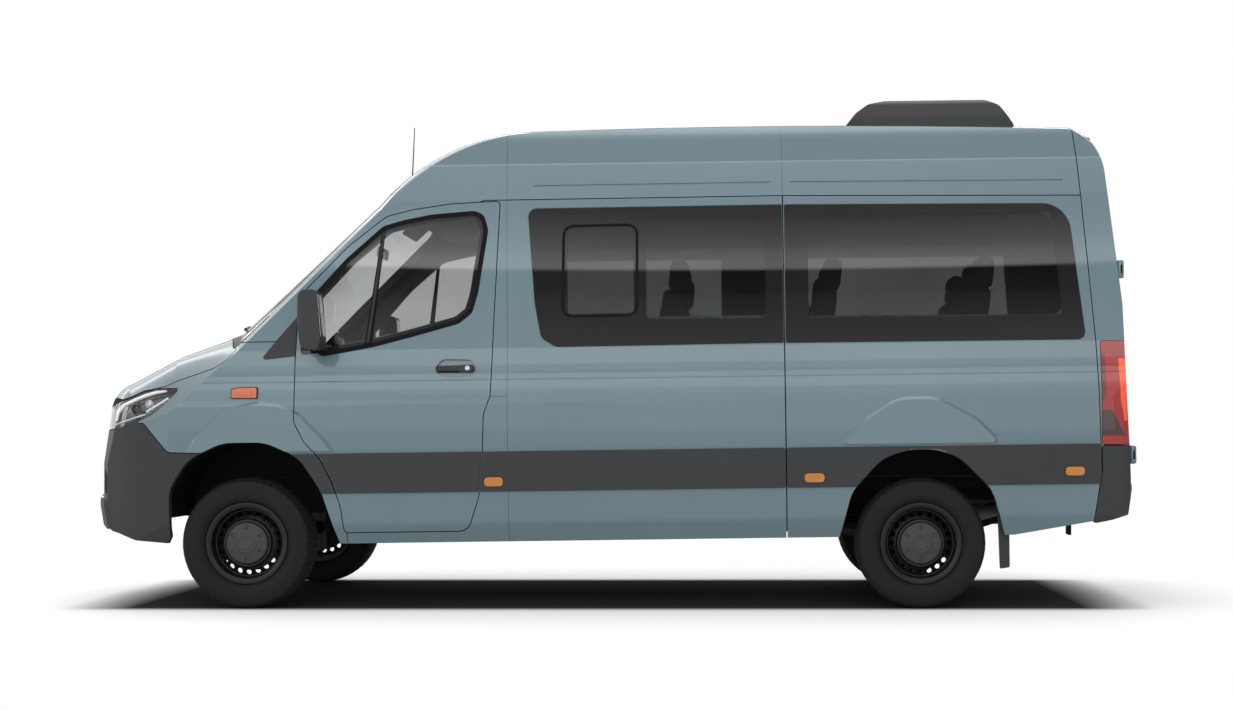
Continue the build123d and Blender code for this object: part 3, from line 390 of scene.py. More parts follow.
dress("roof_panel front_wings side_panels rear_frame sliding_door bonnet", paint)
dress("front_bumper rear_bumper side_mouldings", plastic)
dress("grille_and_cowl", black)
dress("side_windows", side_glass)
dress("windscreen", screen_glass)
dress("headlamps", lens)
dress("tail_lamps", tail_lens)
dress("floor_pan", vinyl)
dress("tank_and_exhaust", pipe_steel)
dress("chassis_frame front_axle rear_axle wheel_housings", underbody)
dress("engine_block propshaft knuckle_left knuckle_right", cast)
dress("dashboard steering_wheel", trim_dark)
dress("front_seats passenger_seats", cloth)
dress("roof_air_conditioner", shell_black)
dress("front_door_left front_door_right rear_door_left rear_door_right", paint)
dress("front_door_glass_left front_door_glass_right", cab_glass)
dress("front_door_trim_left front_door_trim_right", plastic)
dress("rear_door_glass_left rear_door_glass_right", rear_glass)
for wheel, _, axle in WHEELS:
    dress("rim_" + wheel, wheel_disc("rim_" + wheel, axle))
    dress("tyre_" + wheel, rubber)


# ---- building pieces
def mesh_of(name, verts, faces):
    mesh = bpy.data.meshes.new(name)
    mesh.from_pydata([tuple(v) for v in verts], [], faces)
    mesh.update()
    mesh.shade_smooth()
    return mesh


def added(name, data):
    o = bpy.data.objects.new(name, data)
    bpy.context.collection.objects.link(o)
    return o


def placed(name, mesh, body, material=None):
    o = added(name, mesh)
    if material is not None:
        mesh.materials.append(material)
    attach(o, body)
    return o


def piece(name, verts, faces, material, body, angle=30.0):
    """Edges sharper than the angle stay sharp."""
    mesh = mesh_of(name, verts, faces)
    mesh.set_sharp_from_angle(angle=math.radians(angle))
    return placed(name, mesh, body, material)


def tree_of(nodes):
    """The faces of some CAD nodes, for rays."""
    verts = []
    polys = []
    for name in nodes:
        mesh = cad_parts[name].data
        base = len(verts)
        verts.extend(v.co.copy() for v in mesh.vertices)
        polys.extend([base + i for i in p.vertices] for p in mesh.polygons)
    return BVHTree.FromPolygons(verts, polys)


def landed(tree, origin, ray, near):
    """Where a ray meets the faces, or else their point nearest to a guess."""
    hit = tree.ray_cast(origin, ray)[0]
    return tree.find_nearest(near)[0] if hit is None else hit


def dense(outline, gap):
    """The same closed outline with a point at about every gap."""
    pts = []
    for a, b in zip(outline, outline[1:] + outline[:1]):
        count = max(1, int(math.dist(a, b) / gap))
        pts.extend((a[0] + (b[0] - a[0]) * i / count, a[1] + (b[1] - a[1]) * i / count) for i in range(count))
    return pts


def arc(a, corner, b, parts):
    """Points on the curve from a to b that the corner pulls on."""
    for k in range(parts + 1):
        t = k / parts
        yield a * (1 - t) ** 2 + corner * (2 * t * (1 - t)) + b * t * t


def soft_corners(points, parts=4):
    """Closed outline from corners (u, v, reach of the rounding)."""
    out = []
    for i, (u, v, r) in enumerate(points):
        if r <= 0:
            out.append((u, v))
            continue
        here = Vector((u, v))
        before = Vector(points[i - 1][:2]) - here
        after = Vector(points[(i + 1) % len(points)][:2]) - here
        a = here + before.normalized() * min(r, before.length * 0.48)
        b = here + after.normalized() * min(r, after.length * 0.48)
        out.extend(tuple(p) for p in arc(a, here, b, parts))
    return out


def filleted(corners):
    """Outline from corners with true fillet radii."""
    out = []
    n = len(corners)
    for i, (u, v, r) in enumerate(corners):
        a = Vector((corners[i - 1][0] - u, corners[i - 1][1] - v)).normalized()
        b = Vector((corners[(i + 1) % n][0] - u, corners[(i + 1) % n][1] - v)).normalized()
        half = math.acos(max(-1.0, min(1.0, a.dot(b)))) / 2
        out.append((u, v, r / max(math.tan(half), 0.01)))
    return soft_corners(out)


def around(x0, x1, z0, z1, r):
    return soft_corners([(x0, z0, r), (x1, z0, r), (x1, z1, r), (x0, z1, r)])


def bent(points, reach):
    """The same open path with its corners rounded."""
    pts = [Vector(p) for p in points]
    out = [pts[0]]
    for before, here, after in zip(pts, pts[1:], pts[2:]):
        r = min(reach, (before - here).length * 0.45, (after - here).length * 0.45)
        out.extend(arc(here + (before - here).normalized() * r, here, here + (after - here).normalized() * r, 5))
    out.append(pts[-1])
    return out


def draped(name, outline, tree, material, body, lift, thick, side, gap=30.0, view="side", start=FAR_SIDE):
    """Plate laid on a skin, lifted off it.

    The outline is (x, z) in the side view and (y, z) in the end view, where side -1 is the nose. The plate is laid
    from outside; a start nearer than the skin lays it on the inside.
    """
    edge = dense(outline, gap)
    n = len(edge)
    pts = [Vector(p) for p in edge]
    low = [min(p[k] for p in edge) + gap * 0.7 for k in (0, 1)]
    high = [max(p[k] for p in edge) for k in (0, 1)]
    u = low[0]
    while u < high[0]:
        v = low[1]
        while v < high[1]:
            pts.append(Vector((u, v)))
            v += gap
        u += gap
    flat, _, tris, _, _, _ = delaunay_2d_cdt(pts, [(i, (i + 1) % n) for i in range(n)], [list(range(n))], 1, 1e-4)
    toward = -side if start == FAR_SIDE else side
    ray = Vector((0, toward, 0)) if view == "side" else Vector((toward, 0, 0))
    top = []
    last = None
    for p in flat:
        if view == "side":
            origin = at(p.x, start * side, p.y)
        else:
            origin = at(FAR_NOSE if side < 0 else FAR_TAIL, p.x, p.y)
        last = landed(tree, origin, ray, origin + ray * (0.6 if last is None else (last - origin).length))
        top.append(last - ray * (lift + thick) / 1000.0)
    base = len(top)
    verts = top + [v + ray * thick / 1000.0 for v in top]
    faces = [list(t) for t in tris] + [[i + base for i in reversed(t)] for t in tris]
    edges = {(a, b): None for t in tris for a, b in zip(t, list(t[1:]) + [t[0]])}
    faces.extend([b, a, a + base, b + base] for a, b in edges if (b, a) not in edges)
    o = piece(name, verts, faces, material, body, 40.0)
    bm = bmesh.new()
    bm.from_mesh(o.data)
    bmesh.ops.recalc_face_normals(bm, faces=bm.faces)
    bm.to_mesh(o.data)
    bm.free()
    return o


def ribbon(path, width):
    """The two edges of a strip of even width along an open path of (u, v)."""
    pts = [Vector(p) for p in path]
    left = []
    right = []
    for i, p in enumerate(pts):
        d = (pts[min(len(pts) - 1, i + 1)] - pts[max(0, i - 1)]).normalized()
        s = Vector((-d.y, d.x)) * width / 2
        left.append(tuple(p + s))
        right.append(tuple(p - s))
    return left, right


def ring(name, outline, width, tree, side, material, body, lift, deep):
    """Raised band of even width that follows a closed outline (x, z) on the skin."""
    m = len(outline)
    verts = []
    for row in ribbon(outline + outline[:1], width):
        for drop in (0.0, deep):
            for u, v in row[:m]:
                hit = landed(tree, at(u, FAR_SIDE * side, v), Vector((0, -side, 0)), at(u, 1000 * side, v))
                verts.append(hit + Vector((0, side * (lift - drop) / 1000.0, 0)))
    faces = []
    for i in range(m):
        j = (i + 1) % m
        faces.append([i, j, 2 * m + j, 2 * m + i])
        faces.append([m + i, m + j, j, i])
        faces.append([2 * m + i, 2 * m + j, 3 * m + j, 3 * m + i])
    return piece(name, verts, faces, material, body, 50.0)


def plate(name, outline, y0, y1, side, material, body):
    """Flat prism between two planes of the breadth."""
    n = len(outline)
    verts = [at(u, side * y, v) for y in (y0, y1) for u, v in outline]
    faces = [list(range(n)), [n + i for i in reversed(range(n))]]
    faces.extend([i, (i + 1) % n, n + (i + 1) % n, n + i] for i in range(n))
    return piece(name, verts, faces, material, body)


def tube(name, points, radius, material, body, sides=8, closed=False):
    """Round bar along a path; its radius is one number or one for each point."""
    pts = [Vector(p) for p in points]
    n = len(pts)
    verts = []
    faces = []
    up = Vector((0, 0, 1))
    for i, p in enumerate(pts):
        a = pts[i - 1] if i or closed else p
        b = pts[(i + 1) % n] if i < n - 1 or closed else p
        d = (b - a).normalized()
        if abs(d.dot(up)) > 0.95:
            up = Vector((1, 0, 0)) if abs(d.x) < 0.9 else Vector((0, 1, 0))
        s = d.cross(up).normalized()
        up = s.cross(d).normalized()
        r = radius[i] if isinstance(radius, list) else radius
        for k in range(sides):
            w = 2 * math.pi * k / sides
            verts.append(p + (s * math.cos(w) + up * math.sin(w)) * r)
    for i in range(n if closed else n - 1):
        j = (i + 1) % n
        for k in range(sides):
            m = (k + 1) % sides
            faces.append([i * sides + k, i * sides + m, j * sides + m, j * sides + k])
    if not closed:
        faces.append(list(range(sides))[::-1])
        faces.append([(n - 1) * sides + k for k in range(sides)])
    return piece(name, verts, faces, material, body, 50.0)


def block(name, low, high, radius, material, body, turn=0.0, parts=3):
    """Box with rounded edges between two corners on the body, turned by degrees about the breadth."""
    a = Vector(low)
    b = Vector(high)
    size = (b - a) / 1000.0
    bm = bmesh.new()
    bmesh.ops.create_cube(bm, size=1.0)
    bmesh.ops.scale(bm, vec=size, verts=bm.verts)
    bmesh.ops.bevel(bm, geom=bm.edges[:], offset=min(radius / 1000.0, min(size) * 0.45), segments=parts,
                    profile=0.5, affect="EDGES")
    place = Matrix.Translation(at(*(a + b) / 2)) @ Matrix.Rotation(math.radians(turn) - RAKE, 4, "Y")
    bmesh.ops.transform(bm, matrix=place, verts=bm.verts)
    mesh = bpy.data.meshes.new(name)
    bm.to_mesh(mesh)
    bm.free()
    mesh.shade_smooth()
    mesh.set_sharp_from_angle(angle=math.radians(40))
    return placed(name, mesh, body, material)


def wrapped(count, n):
    """Faces between sections of n points each, the last joined to the first."""
    return [[i * n + k, i * n + k + 1, j * n + k + 1, j * n + k]
            for i in range(count) for j in [(i + 1) % count] for k in range(n - 1)]


def turned(name, profile, centre, side, material, body, count=32):
    """Turned about a line along the breadth. The profile is (outboard, radius) in metres."""
    verts = []
    for i in range(count):
        a = 2 * math.pi * i / count
        for out, r in profile:
            verts.append((centre[0] + r * math.cos(a), centre[1] + side * out, centre[2] + r * math.sin(a)))
    return piece(name, verts, wrapped(count, len(profile)), material, body)


skin_nodes = """
    roof_panel front_wings side_panels rear_frame bonnet sliding_door front_door_left front_door_right front_bumper
    rear_bumper side_windows front_door_glass_left front_door_glass_right rear_door_left rear_door_right windscreen
    tail_lamps headlamps""".split()
skin = tree_of(skin_nodes)
cladding = tree_of(skin_nodes + ["side_mouldings"])

# ---- tyres
ROUND = 216
GROOVE = 0.008
wall = [
    (0.106, 0.336), (0.1125, 0.322), (0.1155, 0.305), (0.1172, 0.285), (0.1160, 0.262), (0.1090, 0.244),
    (0.1045, 0.240), (0.1010, 0.236), (0.0900, 0.226), (0.0820, 0.2235), (0.078, 0.214),
]
tread = [(u / 10 * 0.090, TYRE_RADIUS - 0.010 * (abs(u) / 10) ** 4, abs(u) in (3, 7)) for u in range(-10, 11)]
tyre_profile = [(-y, r, False) for y, r in reversed(wall)] + tread + [(y, r, False) for y, r in wall]
tyre_verts = []
for i in range(ROUND):
    a = 2 * math.pi * i / ROUND
    for k, (y, r, groove) in enumerate(tyre_profile):
        row = k - len(wall)
        depth = GROOVE if groove else 0.0
        if 0 <= row < len(tread) and not groove and (i + (row + 1) // 3 * 2) % 4 == 0:
            depth = 0.0065
        if row in (-1, len(tread)) and i % 4 == 0:
            depth = 0.004
        tyre_verts.append(((r - depth) * math.cos(a), y, (r - depth) * math.sin(a)))
tyre_faces = wrapped(ROUND, len(tyre_profile))
for wheel, side, axle in WHEELS:
    moved = [(v[0] + axle, v[1] + side * HUB_Y, v[2] + WHEEL_Z) for v in tyre_verts]
    tyre = piece("tread_" + wheel, moved, tyre_faces, rubber, "wheel_" + wheel, 28.0)
    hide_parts("tyre_" + wheel)
    turned("cap_boss_" + wheel, [(0.060, 0.034), (0.0955, 0.034), (0.0985, 0.031), (0.0985, 0.0)],
           (axle, side * HUB_Y, WHEEL_Z), side, cap_grey, "wheel_" + wheel, 40)

# ---- outside
DOOR_EDGE = filleted([
    (278, 1010, 80), (330, 905, 60), (415, 810, 100), (480, 680, 200), (522, 540, 200), (538, 410, 20),
    (1205, 410, 70), (1268, 600, 300), (1288, 830, 200), (1296, 1040, 120), (1334, 1140, 60),
    (1349, 1500, 600), (1389, 2203, 20), (1125, 2191, 400), (917, 2162, 200), (770, 2126, 120),
    (560, 1962, 400), (338, 1735, 150), (292, 1652, 20), (278, 1345, 20),
])
SLIDE_EDGE = filleted([(1430, 425, 60), (2715, 425, 60), (2715, 2195, 50), (1430, 2195, 50)])
BAND_LOW = 621.5   # the grey band along the flanks
BAND_HIGH = 837.5
BAND_FACE = 1009.7
HINGE_HEIGHTS = (1788, 774)
# Side markers: (x0, x1, z0, z1).
MARKERS = ((1301, 1402, 650, 699), (3031, 3139, 649, 698), (4441, 4544, 668, 715))


def gap_seal(name, outline, side):
    """Rubber tube in the depth of a panel gap; its depth is taken from the skin just inside the gap."""
    mid = sum((Vector(p) for p in outline), Vector((0, 0))) / len(outline)
    pts = []
    for u, v in dense(outline, 70.0):
        aim = Vector((u, v)) + (mid - Vector((u, v))).normalized() * 16
        hit = skin.ray_cast(at(aim.x, FAR_SIDE * side, aim.y), Vector((0, -side, 0)))[0]
        if hit is not None:
            here = at(u, 0, v)
            pts.append(Vector((here.x, hit.y - side * 0.021, here.z)))
    tube(name, pts, 0.007, seal, "body", closed=True)


for hand, side in SIDES:
    door = "front_door_" + hand
    rear_door = "rear_door_" + hand
    for tag, material, lift, thick, gap, corners in (
        ("base_", plastic, 0.0, 5.0, 30.0,
         [(-66, 1141, 6), (80, 1139, 8), (80, 1204, 10), (-20, 1204, 10), (-66, 1196, 6)]),
        ("", orange, 4.0, 9.0, 12.0, [(-60, 1146, 5), (74, 1144, 7), (74, 1199, 9), (-20, 1199, 9), (-60, 1190, 5)]),
        ("lens_", orange, 12.0, 5.0, 12.0, [(-10, 1156, 8), (52, 1156, 8), (44, 1190, 8), (-20, 1190, 8)]),
    ):
        draped("fender_lamp_" + tag + hand, soft_corners(corners), skin, material, "body", lift, thick, side, gap)
    for i, (x0, x1, z0, z1) in enumerate(MARKERS):
        tag = "%d_%s" % (i, hand)
        rim = around(x0 - 4, x1 + 4, z0 - 4, z1 + 4, 24)
        face = around(x0, x1, z0, z1, 22)
        if i:
            draped("marker_rim_" + tag, rim, cladding, black, "body", -1.0, 4.0, side)
            draped("marker_" + tag, face, cladding, amber, "body", 2.0, 5.0, side, 12.0)
        elif hand == "left":  # this one lies over the gap behind the door
            plate("marker_rim_" + tag, rim, 1006.0, 1012.5, side, black, "body")
            plate("marker_" + tag, face, 1006.0, 1016.0, side, amber, "body")
    # Cab door: the bar before the quarter glass, the frame of the glass, the handle and the seal in the gap.
    door_skin = tree_of([door, "front_door_glass_" + hand])
    draped("quarter_bar_" + hand, [(748, 2052), (768, 2066), (690, 1424), (650, 1416)],
           door_skin, seal, door, 0.0, 5.0, side, 60.0)
    draped("quarter_bar_face_" + hand, [(752, 2040), (764, 2044), (678, 1440), (662, 1436)],
           door_skin, black, door, 4.0, 4.0, side, 60.0)
    ring("glass_frame_" + hand, dense(soft_corners([(u, v, 14) for u, v in DOOR_GLASS], 2), 60.0), 25.0,
         door_skin, side, seal, door, 2.5, 6.0)
    grip = soft_corners([(1040, 1268, 10), (1244, 1266, 16), (1246, 1312, 18), (1040, 1306, 10)])
    draped("handle_grip_" + hand, grip, tree_of(["front_door_trim_" + hand, door]), shell_black, door,
           0.0, 2.0, side, 14.0)
    gap_seal("door_gap_" + hand, DOOR_EDGE, side)
    # Pieces that close the grey band behind the door and over the rear wheel, and those on the door's own ends.
    last = 1374 if side < 0 else 1425
    plate("band_fill_" + hand, [(1272, BAND_LOW), (last, BAND_LOW), (last, BAND_HIGH), (1291.5, BAND_HIGH)],
          996.0, BAND_FACE, side, plastic, "body")
    crown = [(3585, 817), (3605, 822), (3745, 822), (3800, 809), (3813, 806), (3813, BAND_HIGH), (3585, BAND_HIGH)]
    plate("band_crown_" + hand, crown, 990.0, BAND_FACE, side, plastic, "body")
    # Painted shade: a near-black sheet lines the fog lamp's recess in the bumper.
    recess_shade = [(side * y, z) for y, z in ((832, 640), (712, 650), (736, 754), (832, 734))]
    draped("fog_recess_shade_" + hand, recess_shade, skin, seal, "body", -1.0, 2.5, -1, 14.0, "end")
    draped("fog_lamp_" + hand, around(*span(side, 762, 806), 674, 716, 18), skin, silver, "body",
           1.0, 4.0, -1, 12.0, "end")
    nose = [(503, BAND_LOW), (514, BAND_LOW), (514, BAND_HIGH), (397, BAND_HIGH), (421, 810), (468, 715), (489, 673)]
    plate("band_nose_" + hand, nose, 990.0, BAND_FACE, side, plastic, door)
    plate("band_end_" + hand, [(1252, BAND_LOW), (1265, BAND_LOW), (1285, BAND_HIGH), (1252, BAND_HIGH)],
          996.0, BAND_FACE, side, plastic, door)
    turned("key_dot_" + hand, [(0.0, 0.013), (0.004, 0.013), (0.006, 0.010), (0.006, 0.0)],
           at(1216, side * 997, 1291), side, silver, door)
    y0, y1 = span(side, 1046, 1158)
    block("mirror_glass_" + hand, (450.5, y0, 1465), (456.5, y1, 1690), 3, chrome, door, -3.4)
    # Rear end: hinges with a dark slot, reflectors and sensors.
    for i, z in enumerate(HINGE_HEIGHTS):
        back = skin.ray_cast(at(FAR_TAIL, side * 880, z), Vector((-1, 0, 0)))[0]
        x = (back.x - FRONT_AXLE) * 1000 + RAKE_SLOPE * z
        y0, y1 = span(side, 872, 914)
        block("rear_hinge_%d_%s" % (i, hand), (x - 16, y0, z - 50), (x + 22, y1, z + 50), 12, paint, rear_door)
        y0, y1 = span(side, 909, 917)
        block("rear_hinge_slot_%d_%s" % (i, hand), (x + 2, y0, z - 24), (x + 12, y1, z + 24), 4, seal, rear_door)
    draped("reflector_" + hand, around(*span(side, 620, 780), 560, 600, 14), skin, red_plastic, "body",
           -1.0, 5.0, 1, 20.0, "end")
    for i, y in enumerate((250, 700)):
        for end, z, way in (("rear", 650, 1), ("front", 680, -1)):
            draped("%s_sensor_%d_%s" % (end, i, hand), around(side * y - 13, side * y + 13, z - 13, z + 13, 12),
                   skin, black, "body", -1.0, 3.0, way, 30.0, "end")

vent = soft_corners([(1729, 1566, 60), (2134, 1571, 60), (2138, 2066, 60), (1738, 2062, 60)], 5)
ring("vent_frame_left", dense(vent, 60.0), 15.0, skin, -1, seal, "body", 2.0, 3.0)
gap_seal("slide_gap_right", SLIDE_EDGE, 1)
draped("slide_rail_right", around(2740, 4330, 1100, 1130, 8), skin, black, "body", 0.0, 7.0, 1, 60.0)
draped("slide_handle_right", around(1482, 1668, 1270, 1308, 14), skin, shell_black, "body", 0.0, 22.0, 1, 14.0)
draped("rear_handle", around(-130, -34, 1036, 1084, 12), skin, shell_black, "rear_door_left",
       0.0, 20.0, 1, 14.0, "end")
draped("third_lamp", around(-180, 180, 2424, 2452, 10), skin, red_plastic, "body", 0.0, 9.0, 1, 30.0, "end")
block("intake_back", (-957, -424, 533), (-949, 424, 642), 3, seal, "body")
for i in range(3):
    block("intake_bar_%d" % i, (-972, -420, 556 + 26 * i), (-955, 420, 564 + 26 * i), 3, black, "body")

# Brake shields behind the rims: rings of 240 degrees, open at the bottom.
ARC_STEPS = 40
for wheel, side, axle in WHEELS:
    n = ARC_STEPS + 1
    verts = []
    for depth in (-0.045, -0.042):
        for radius in (0.055, 0.184):
            for i in range(n):
                a = math.radians(-25.0 + 240.0 * i / ARC_STEPS)
                verts.append((axle + radius * math.cos(a), side * (HUB_Y + depth), WHEEL_Z + radius * math.sin(a)))
    faces = []
    for i in range(ARC_STEPS):
        faces.append([i, i + 1, n + i + 1, n + i])
        faces.append([2 * n + i, 3 * n + i, 3 * n + i + 1, 2 * n + i + 1])
        faces.append([n + i, n + i + 1, 3 * n + i + 1, 3 * n + i])
    carrier = wheel.replace("front", "knuckle") if axle == FRONT_AXLE else "body"
    piece("brake_shield_" + wheel, verts, faces, underbody, carrier, 35.0)

# ---- headlamps
for hand, side in SIDES:
    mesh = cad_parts["headlamps"].data
    picked = [p for p in mesh.polygons if p.normal.y * side > 0.12 and p.center.y * side > 0]
    used = sorted({i for p in picked for i in p.vertices})
    index = {v: k for k, v in enumerate(used)}
    front = [mesh.vertices[i].co.copy() for i in used]
    faces = [[index[i] for i in p.vertices] for p in picked]
    middle = sum(front, Vector()) / len(front)
    bowl = [middle + (v - middle) * 0.96 + Vector((0.034, -side * 0.030, 0)) for v in front]
    piece("lamp_bowl_" + hand, bowl, faces, gloss_black, "body", 60.0)
lamp_tree = tree_of(["headlamps"])


def in_lamp(x, z, side, depth):
    """A point behind the headlamp's lens."""
    hit = landed(lamp_tree, at(x, FAR_SIDE * side, z), Vector((0, -side, 0)), at(x, 850 * side, z))
    return hit + Vector((depth * 0.55, -side * depth * 0.8, 0))


BOW = [(-742, 1032), (-731, 1080), (-712, 1116), (-672, 1143), (-610, 1166), (-540, 1184), (-470, 1192)]
BOW_RADII = [0.007, 0.010, 0.0115, 0.0115, 0.011, 0.010, 0.006]
RIBS = [(-560, 1078), (-530, 1098), (-500, 1116), (-470, 1134), (-444, 1152)]
LOWER_EDGE = [(-742, 1010), (-690, 1022), (-620, 1042), (-560, 1062)]
for hand, side in SIDES:
    tube("lamp_bow_" + hand, [in_lamp(x, z, side, 0.012) for x, z in BOW], BOW_RADII, light_bar, "body", 10)
    tube("lamp_second_bow_" + hand, [in_lamp(x, z, side, 0.014) for x, z in RIBS], 0.006, light_bar, "body")
    for i, (x, z) in enumerate(RIBS):
        tube("lamp_rib_%d_%s" % (i, hand),
             [in_lamp(x + 4, z - 8, side, 0.012), in_lamp(x + 34, z - 30, side, 0.012)], 0.0035, silver, "body")
    tube("lamp_lower_edge_" + hand, [in_lamp(x, z, side, 0.012) for x, z in LOWER_EDGE], 0.006, chrome, "body")
    for i, (x, z, r) in enumerate(((-640, 1090, 0.030), (-570, 1118, 0.024))):
        profile = [(-0.004, r), (0.006, r), (0.008, r * 0.9), (0.004, r * 0.8), (0.012, r * 0.5), (0.014, 0.0)]
        turned("lamp_projector_%d_%s" % (i, hand), profile, in_lamp(x, z, side, 0.030), side,
               chrome if i else gloss_black, "body", 40)

# ---- screen and roof
screen = tree_of(["windscreen"])


def on_screen(y, above):
    """A point on the windscreen, so far up from its curved lower edge."""
    x = -232 + 140 * (abs(y) / 850) ** 2.2 + above
    return landed(screen, at(x, y, 2600), Vector((0, 0, -1)), at(x, y, 1560))


for i, (y0, y1) in enumerate(((-640, -20), (60, 680))):
    blade = [on_screen(y0 + (y1 - y0) * k / 8, 60 - 3 * k) + Vector((-0.009, 0, 0.009)) for k in range(9)]
    tube("wiper_blade_%d" % i, blade, 0.007, black, "body")
    foot = on_screen(y1, 8) + Vector((-0.02, 0, 0.006))
    arm = [foot, foot + Vector((0.02, -0.03, 0.030)), blade[4] + Vector((-0.010, 0, 0.012)), blade[3]]
    tube("wiper_arm_%d" % i, bent(arm, 0.03), 0.0065, black, "body")
tube("antenna", [at(750, 0, 2436), at(754, 0, 2470), at(771, 0, 2765)], [0.006, 0.004, 0.0025], black, "body", 10)
block("antenna_foot", (725, -22, 2420), (790, 22, 2462), 12, black, "body", -40)

# ---- seats
PARTS = 14         # divisions of a pad along each axis, apart from its edges and channels
CHANNEL = 0.007    # depth of a stitched channel
HALF_CHANNEL = 0.006


def pad_stops(half, radius, cuts):
    """Where the rows of a pad's mesh lie along one axis: even steps, closer at the edges and at each channel."""
    stops = {-half + 2 * half * i / PARTS for i in range(PARTS + 1)}
    for e in (half - radius * 0.33, half - radius * 0.66, half - radius):
        stops |= {e, -e}
    for c in cuts:
        stops |= {c + d for d in (-0.012, -0.005, 0.0, 0.005, 0.012)}
    stops = sorted({round(s, 5) for s in stops if -half - 1e-6 <= round(s, 5) <= half + 1e-6})
    return [s for i, s in enumerate(stops) if i == 0 or s - stops[i - 1] > 0.0008]


def pad_point(p, half, radius, crown, cuts_x, cuts_y):
    """A point of a box's surface moved to the stuffed form."""
    core = Vector([max(radius - h, min(h - radius, v)) for v, h in zip(p, half)])
    away = p - core
    if away.length > 1e-7:
        reach = min(radius, away.length) if max(abs(a) for a in away) < radius * 0.99 else radius
        p = core + away.normalized() * reach
    u = max(0.0, 1 - (p.x / half.x) ** 2)
    v = max(0.0, 1 - (p.y / half.y) ** 2)
    side = p.z / half.z
    p.z += crown * u ** 0.6 * v ** 0.6 * (1.0 if side > 0 else -0.35) * min(1.0, abs(side) * 1.4)
    if abs(p.y) > half.y * 0.9:
        p.y += crown * 0.35 * u ** 0.6 * (1 - min(1, abs(side))) * (1 if p.y > 0 else -1)
    if side > 0.6:
        dip = 0.0
        if abs(p.y) < half.y - radius * 0.5:
            dip += sum(math.exp(-((p.x - c) / HALF_CHANNEL) ** 2) for c in cuts_x)
        if abs(p.x) < half.x - radius * 0.3:
            dip += sum(math.exp(-((p.y - c) / HALF_CHANNEL) ** 2) for c in cuts_y)
        p.z -= CHANNEL * min(1.0, dip)
    return p


def cushion_mesh(name, size, radius, crown, cuts_x, cuts_y):
    """Stuffed form about its centre: rounded edges, a crowned upper face and stitched channels both ways."""
    half = Vector(size) / 2
    axes = [pad_stops(h, radius, cuts) for h, cuts in zip(half, (cuts_x, cuts_y, ()))]
    last = [len(a) - 1 for a in axes]
    index = {}
    verts = []
    faces = []

    def corner(key):
        if key not in index:
            index[key] = len(verts)
            p = Vector([axis[i] for axis, i in zip(axes, key)])
            verts.append(pad_point(p, half, radius, crown, cuts_x, cuts_y))
        return index[key]

    # Each pair of opposite faces: the fixed axis, the two others, and whether their order is left-handed.
    for fixed, a, b, flipped in ((2, 0, 1, False), (1, 0, 2, True), (0, 1, 2, False)):
        for i in range(last[a]):
            for j in range(last[b]):
                for end in (0, last[fixed]):
                    loop = [(i, j), (i, j + 1), (i + 1, j + 1), (i + 1, j)]
                    if (end == 0) == flipped:
                        loop[1], loop[3] = loop[3], loop[1]
                    keys = [{fixed: end, a: u, b: v} for u, v in loop]
                    faces.append([corner((k[0], k[1], k[2])) for k in keys])
    mesh = mesh_of(name, verts, faces)
    mesh.materials.append(cloth)
    return mesh


def set_down(name, mesh, where, pitch):
    """A pad's shared mesh placed on the body. A positive pitch turns it tail down about the breadth."""
    o = placed(name, mesh, "body")
    o.matrix_world = Matrix.Translation(at(*where)) @ Matrix.Rotation(math.radians(pitch) - RAKE, 4, "Y")
    return o


shapes = {}
for width in (500, 410, 388, 380):
    w = width / 1000.0
    shapes[width] = (
        cushion_mesh("cushion_%d" % width, (0.478, w, 0.118), 0.030, 0.012, (-0.120, 0.060), (-w * 0.30, w * 0.30)),
        cushion_mesh("backrest_%d" % width, (0.690, w, 0.104), 0.030, 0.010, (-0.190, -0.030, 0.130, 0.250),
                     (-w * 0.29, w * 0.29)),
    )
headrest = cushion_mesh("headrest", (0.176, 0.276, 0.098), 0.040, 0.006, (0.0,), ())
FLOOR = 700


def seat(name, x, y0, y1, base0, base1):
    """Seat on a pedestal from base0 to base1; returns its backrest pad."""
    middle = (y0 + y1) / 2
    bottom, back = shapes[y1 - y0]
    set_down(name + "_cushion", bottom, (x + 242, middle, FLOOR + 364), 4.0)
    backrest = set_down(name + "_backrest", back, (x + 566, middle, FLOOR + 668), -80.0)
    set_down(name + "_headrest", headrest, (x + 652, middle, FLOOR + 1094), -84.0)
    for k, y in enumerate((middle - 55, middle + 55)):
        tube("%s_post_%d" % (name, k), [at(x + 622, y, FLOOR + 985), at(x + 648, y, FLOOR + 1070)], 0.006,
             chrome, "body")
    for part, low, high, radius, material, turn in (
        ("_pedestal", (66, base0 + 4, 2), (434, base1 - 4, 306), 16, trim_dark, 0.0),
        ("_pan", (30, y0 + 16, 290), (500, y1 - 16, 318), 10, trim_dark, 3.0),
        ("_shell", (612, y0 + 22, 380), (626, y1 - 22, 960), 6, trim_grey, 9.8),
        ("_buckle", (455, y1 - 40, 390), (485, y1 - 16, 470), 6, seal, 12),
    ):
        low, high = ((x + u, v, FLOOR + z) for u, v, z in (low, high))
        block(name + part, low, high, radius, material, "body", turn)
    return backrest


made = [
    seat("driver_seat", 740, -720, -220, -650, -290),
    seat("middle_seat", 740, 20, 400, 90, 390),
    seat("side_seat", 740, 412, 800, 420, 690),
]
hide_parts("front_seats")
made = []
for row, x in enumerate((1706, 2556, 3400)):
    for k, places in enumerate(((-870, -460, -590, -470), (-450, -40, -440, -140), (390, 800, 400, 590))):
        made.append(seat("seat_%d_%d" % (row, k), x, *places))
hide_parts("passenger_seats")

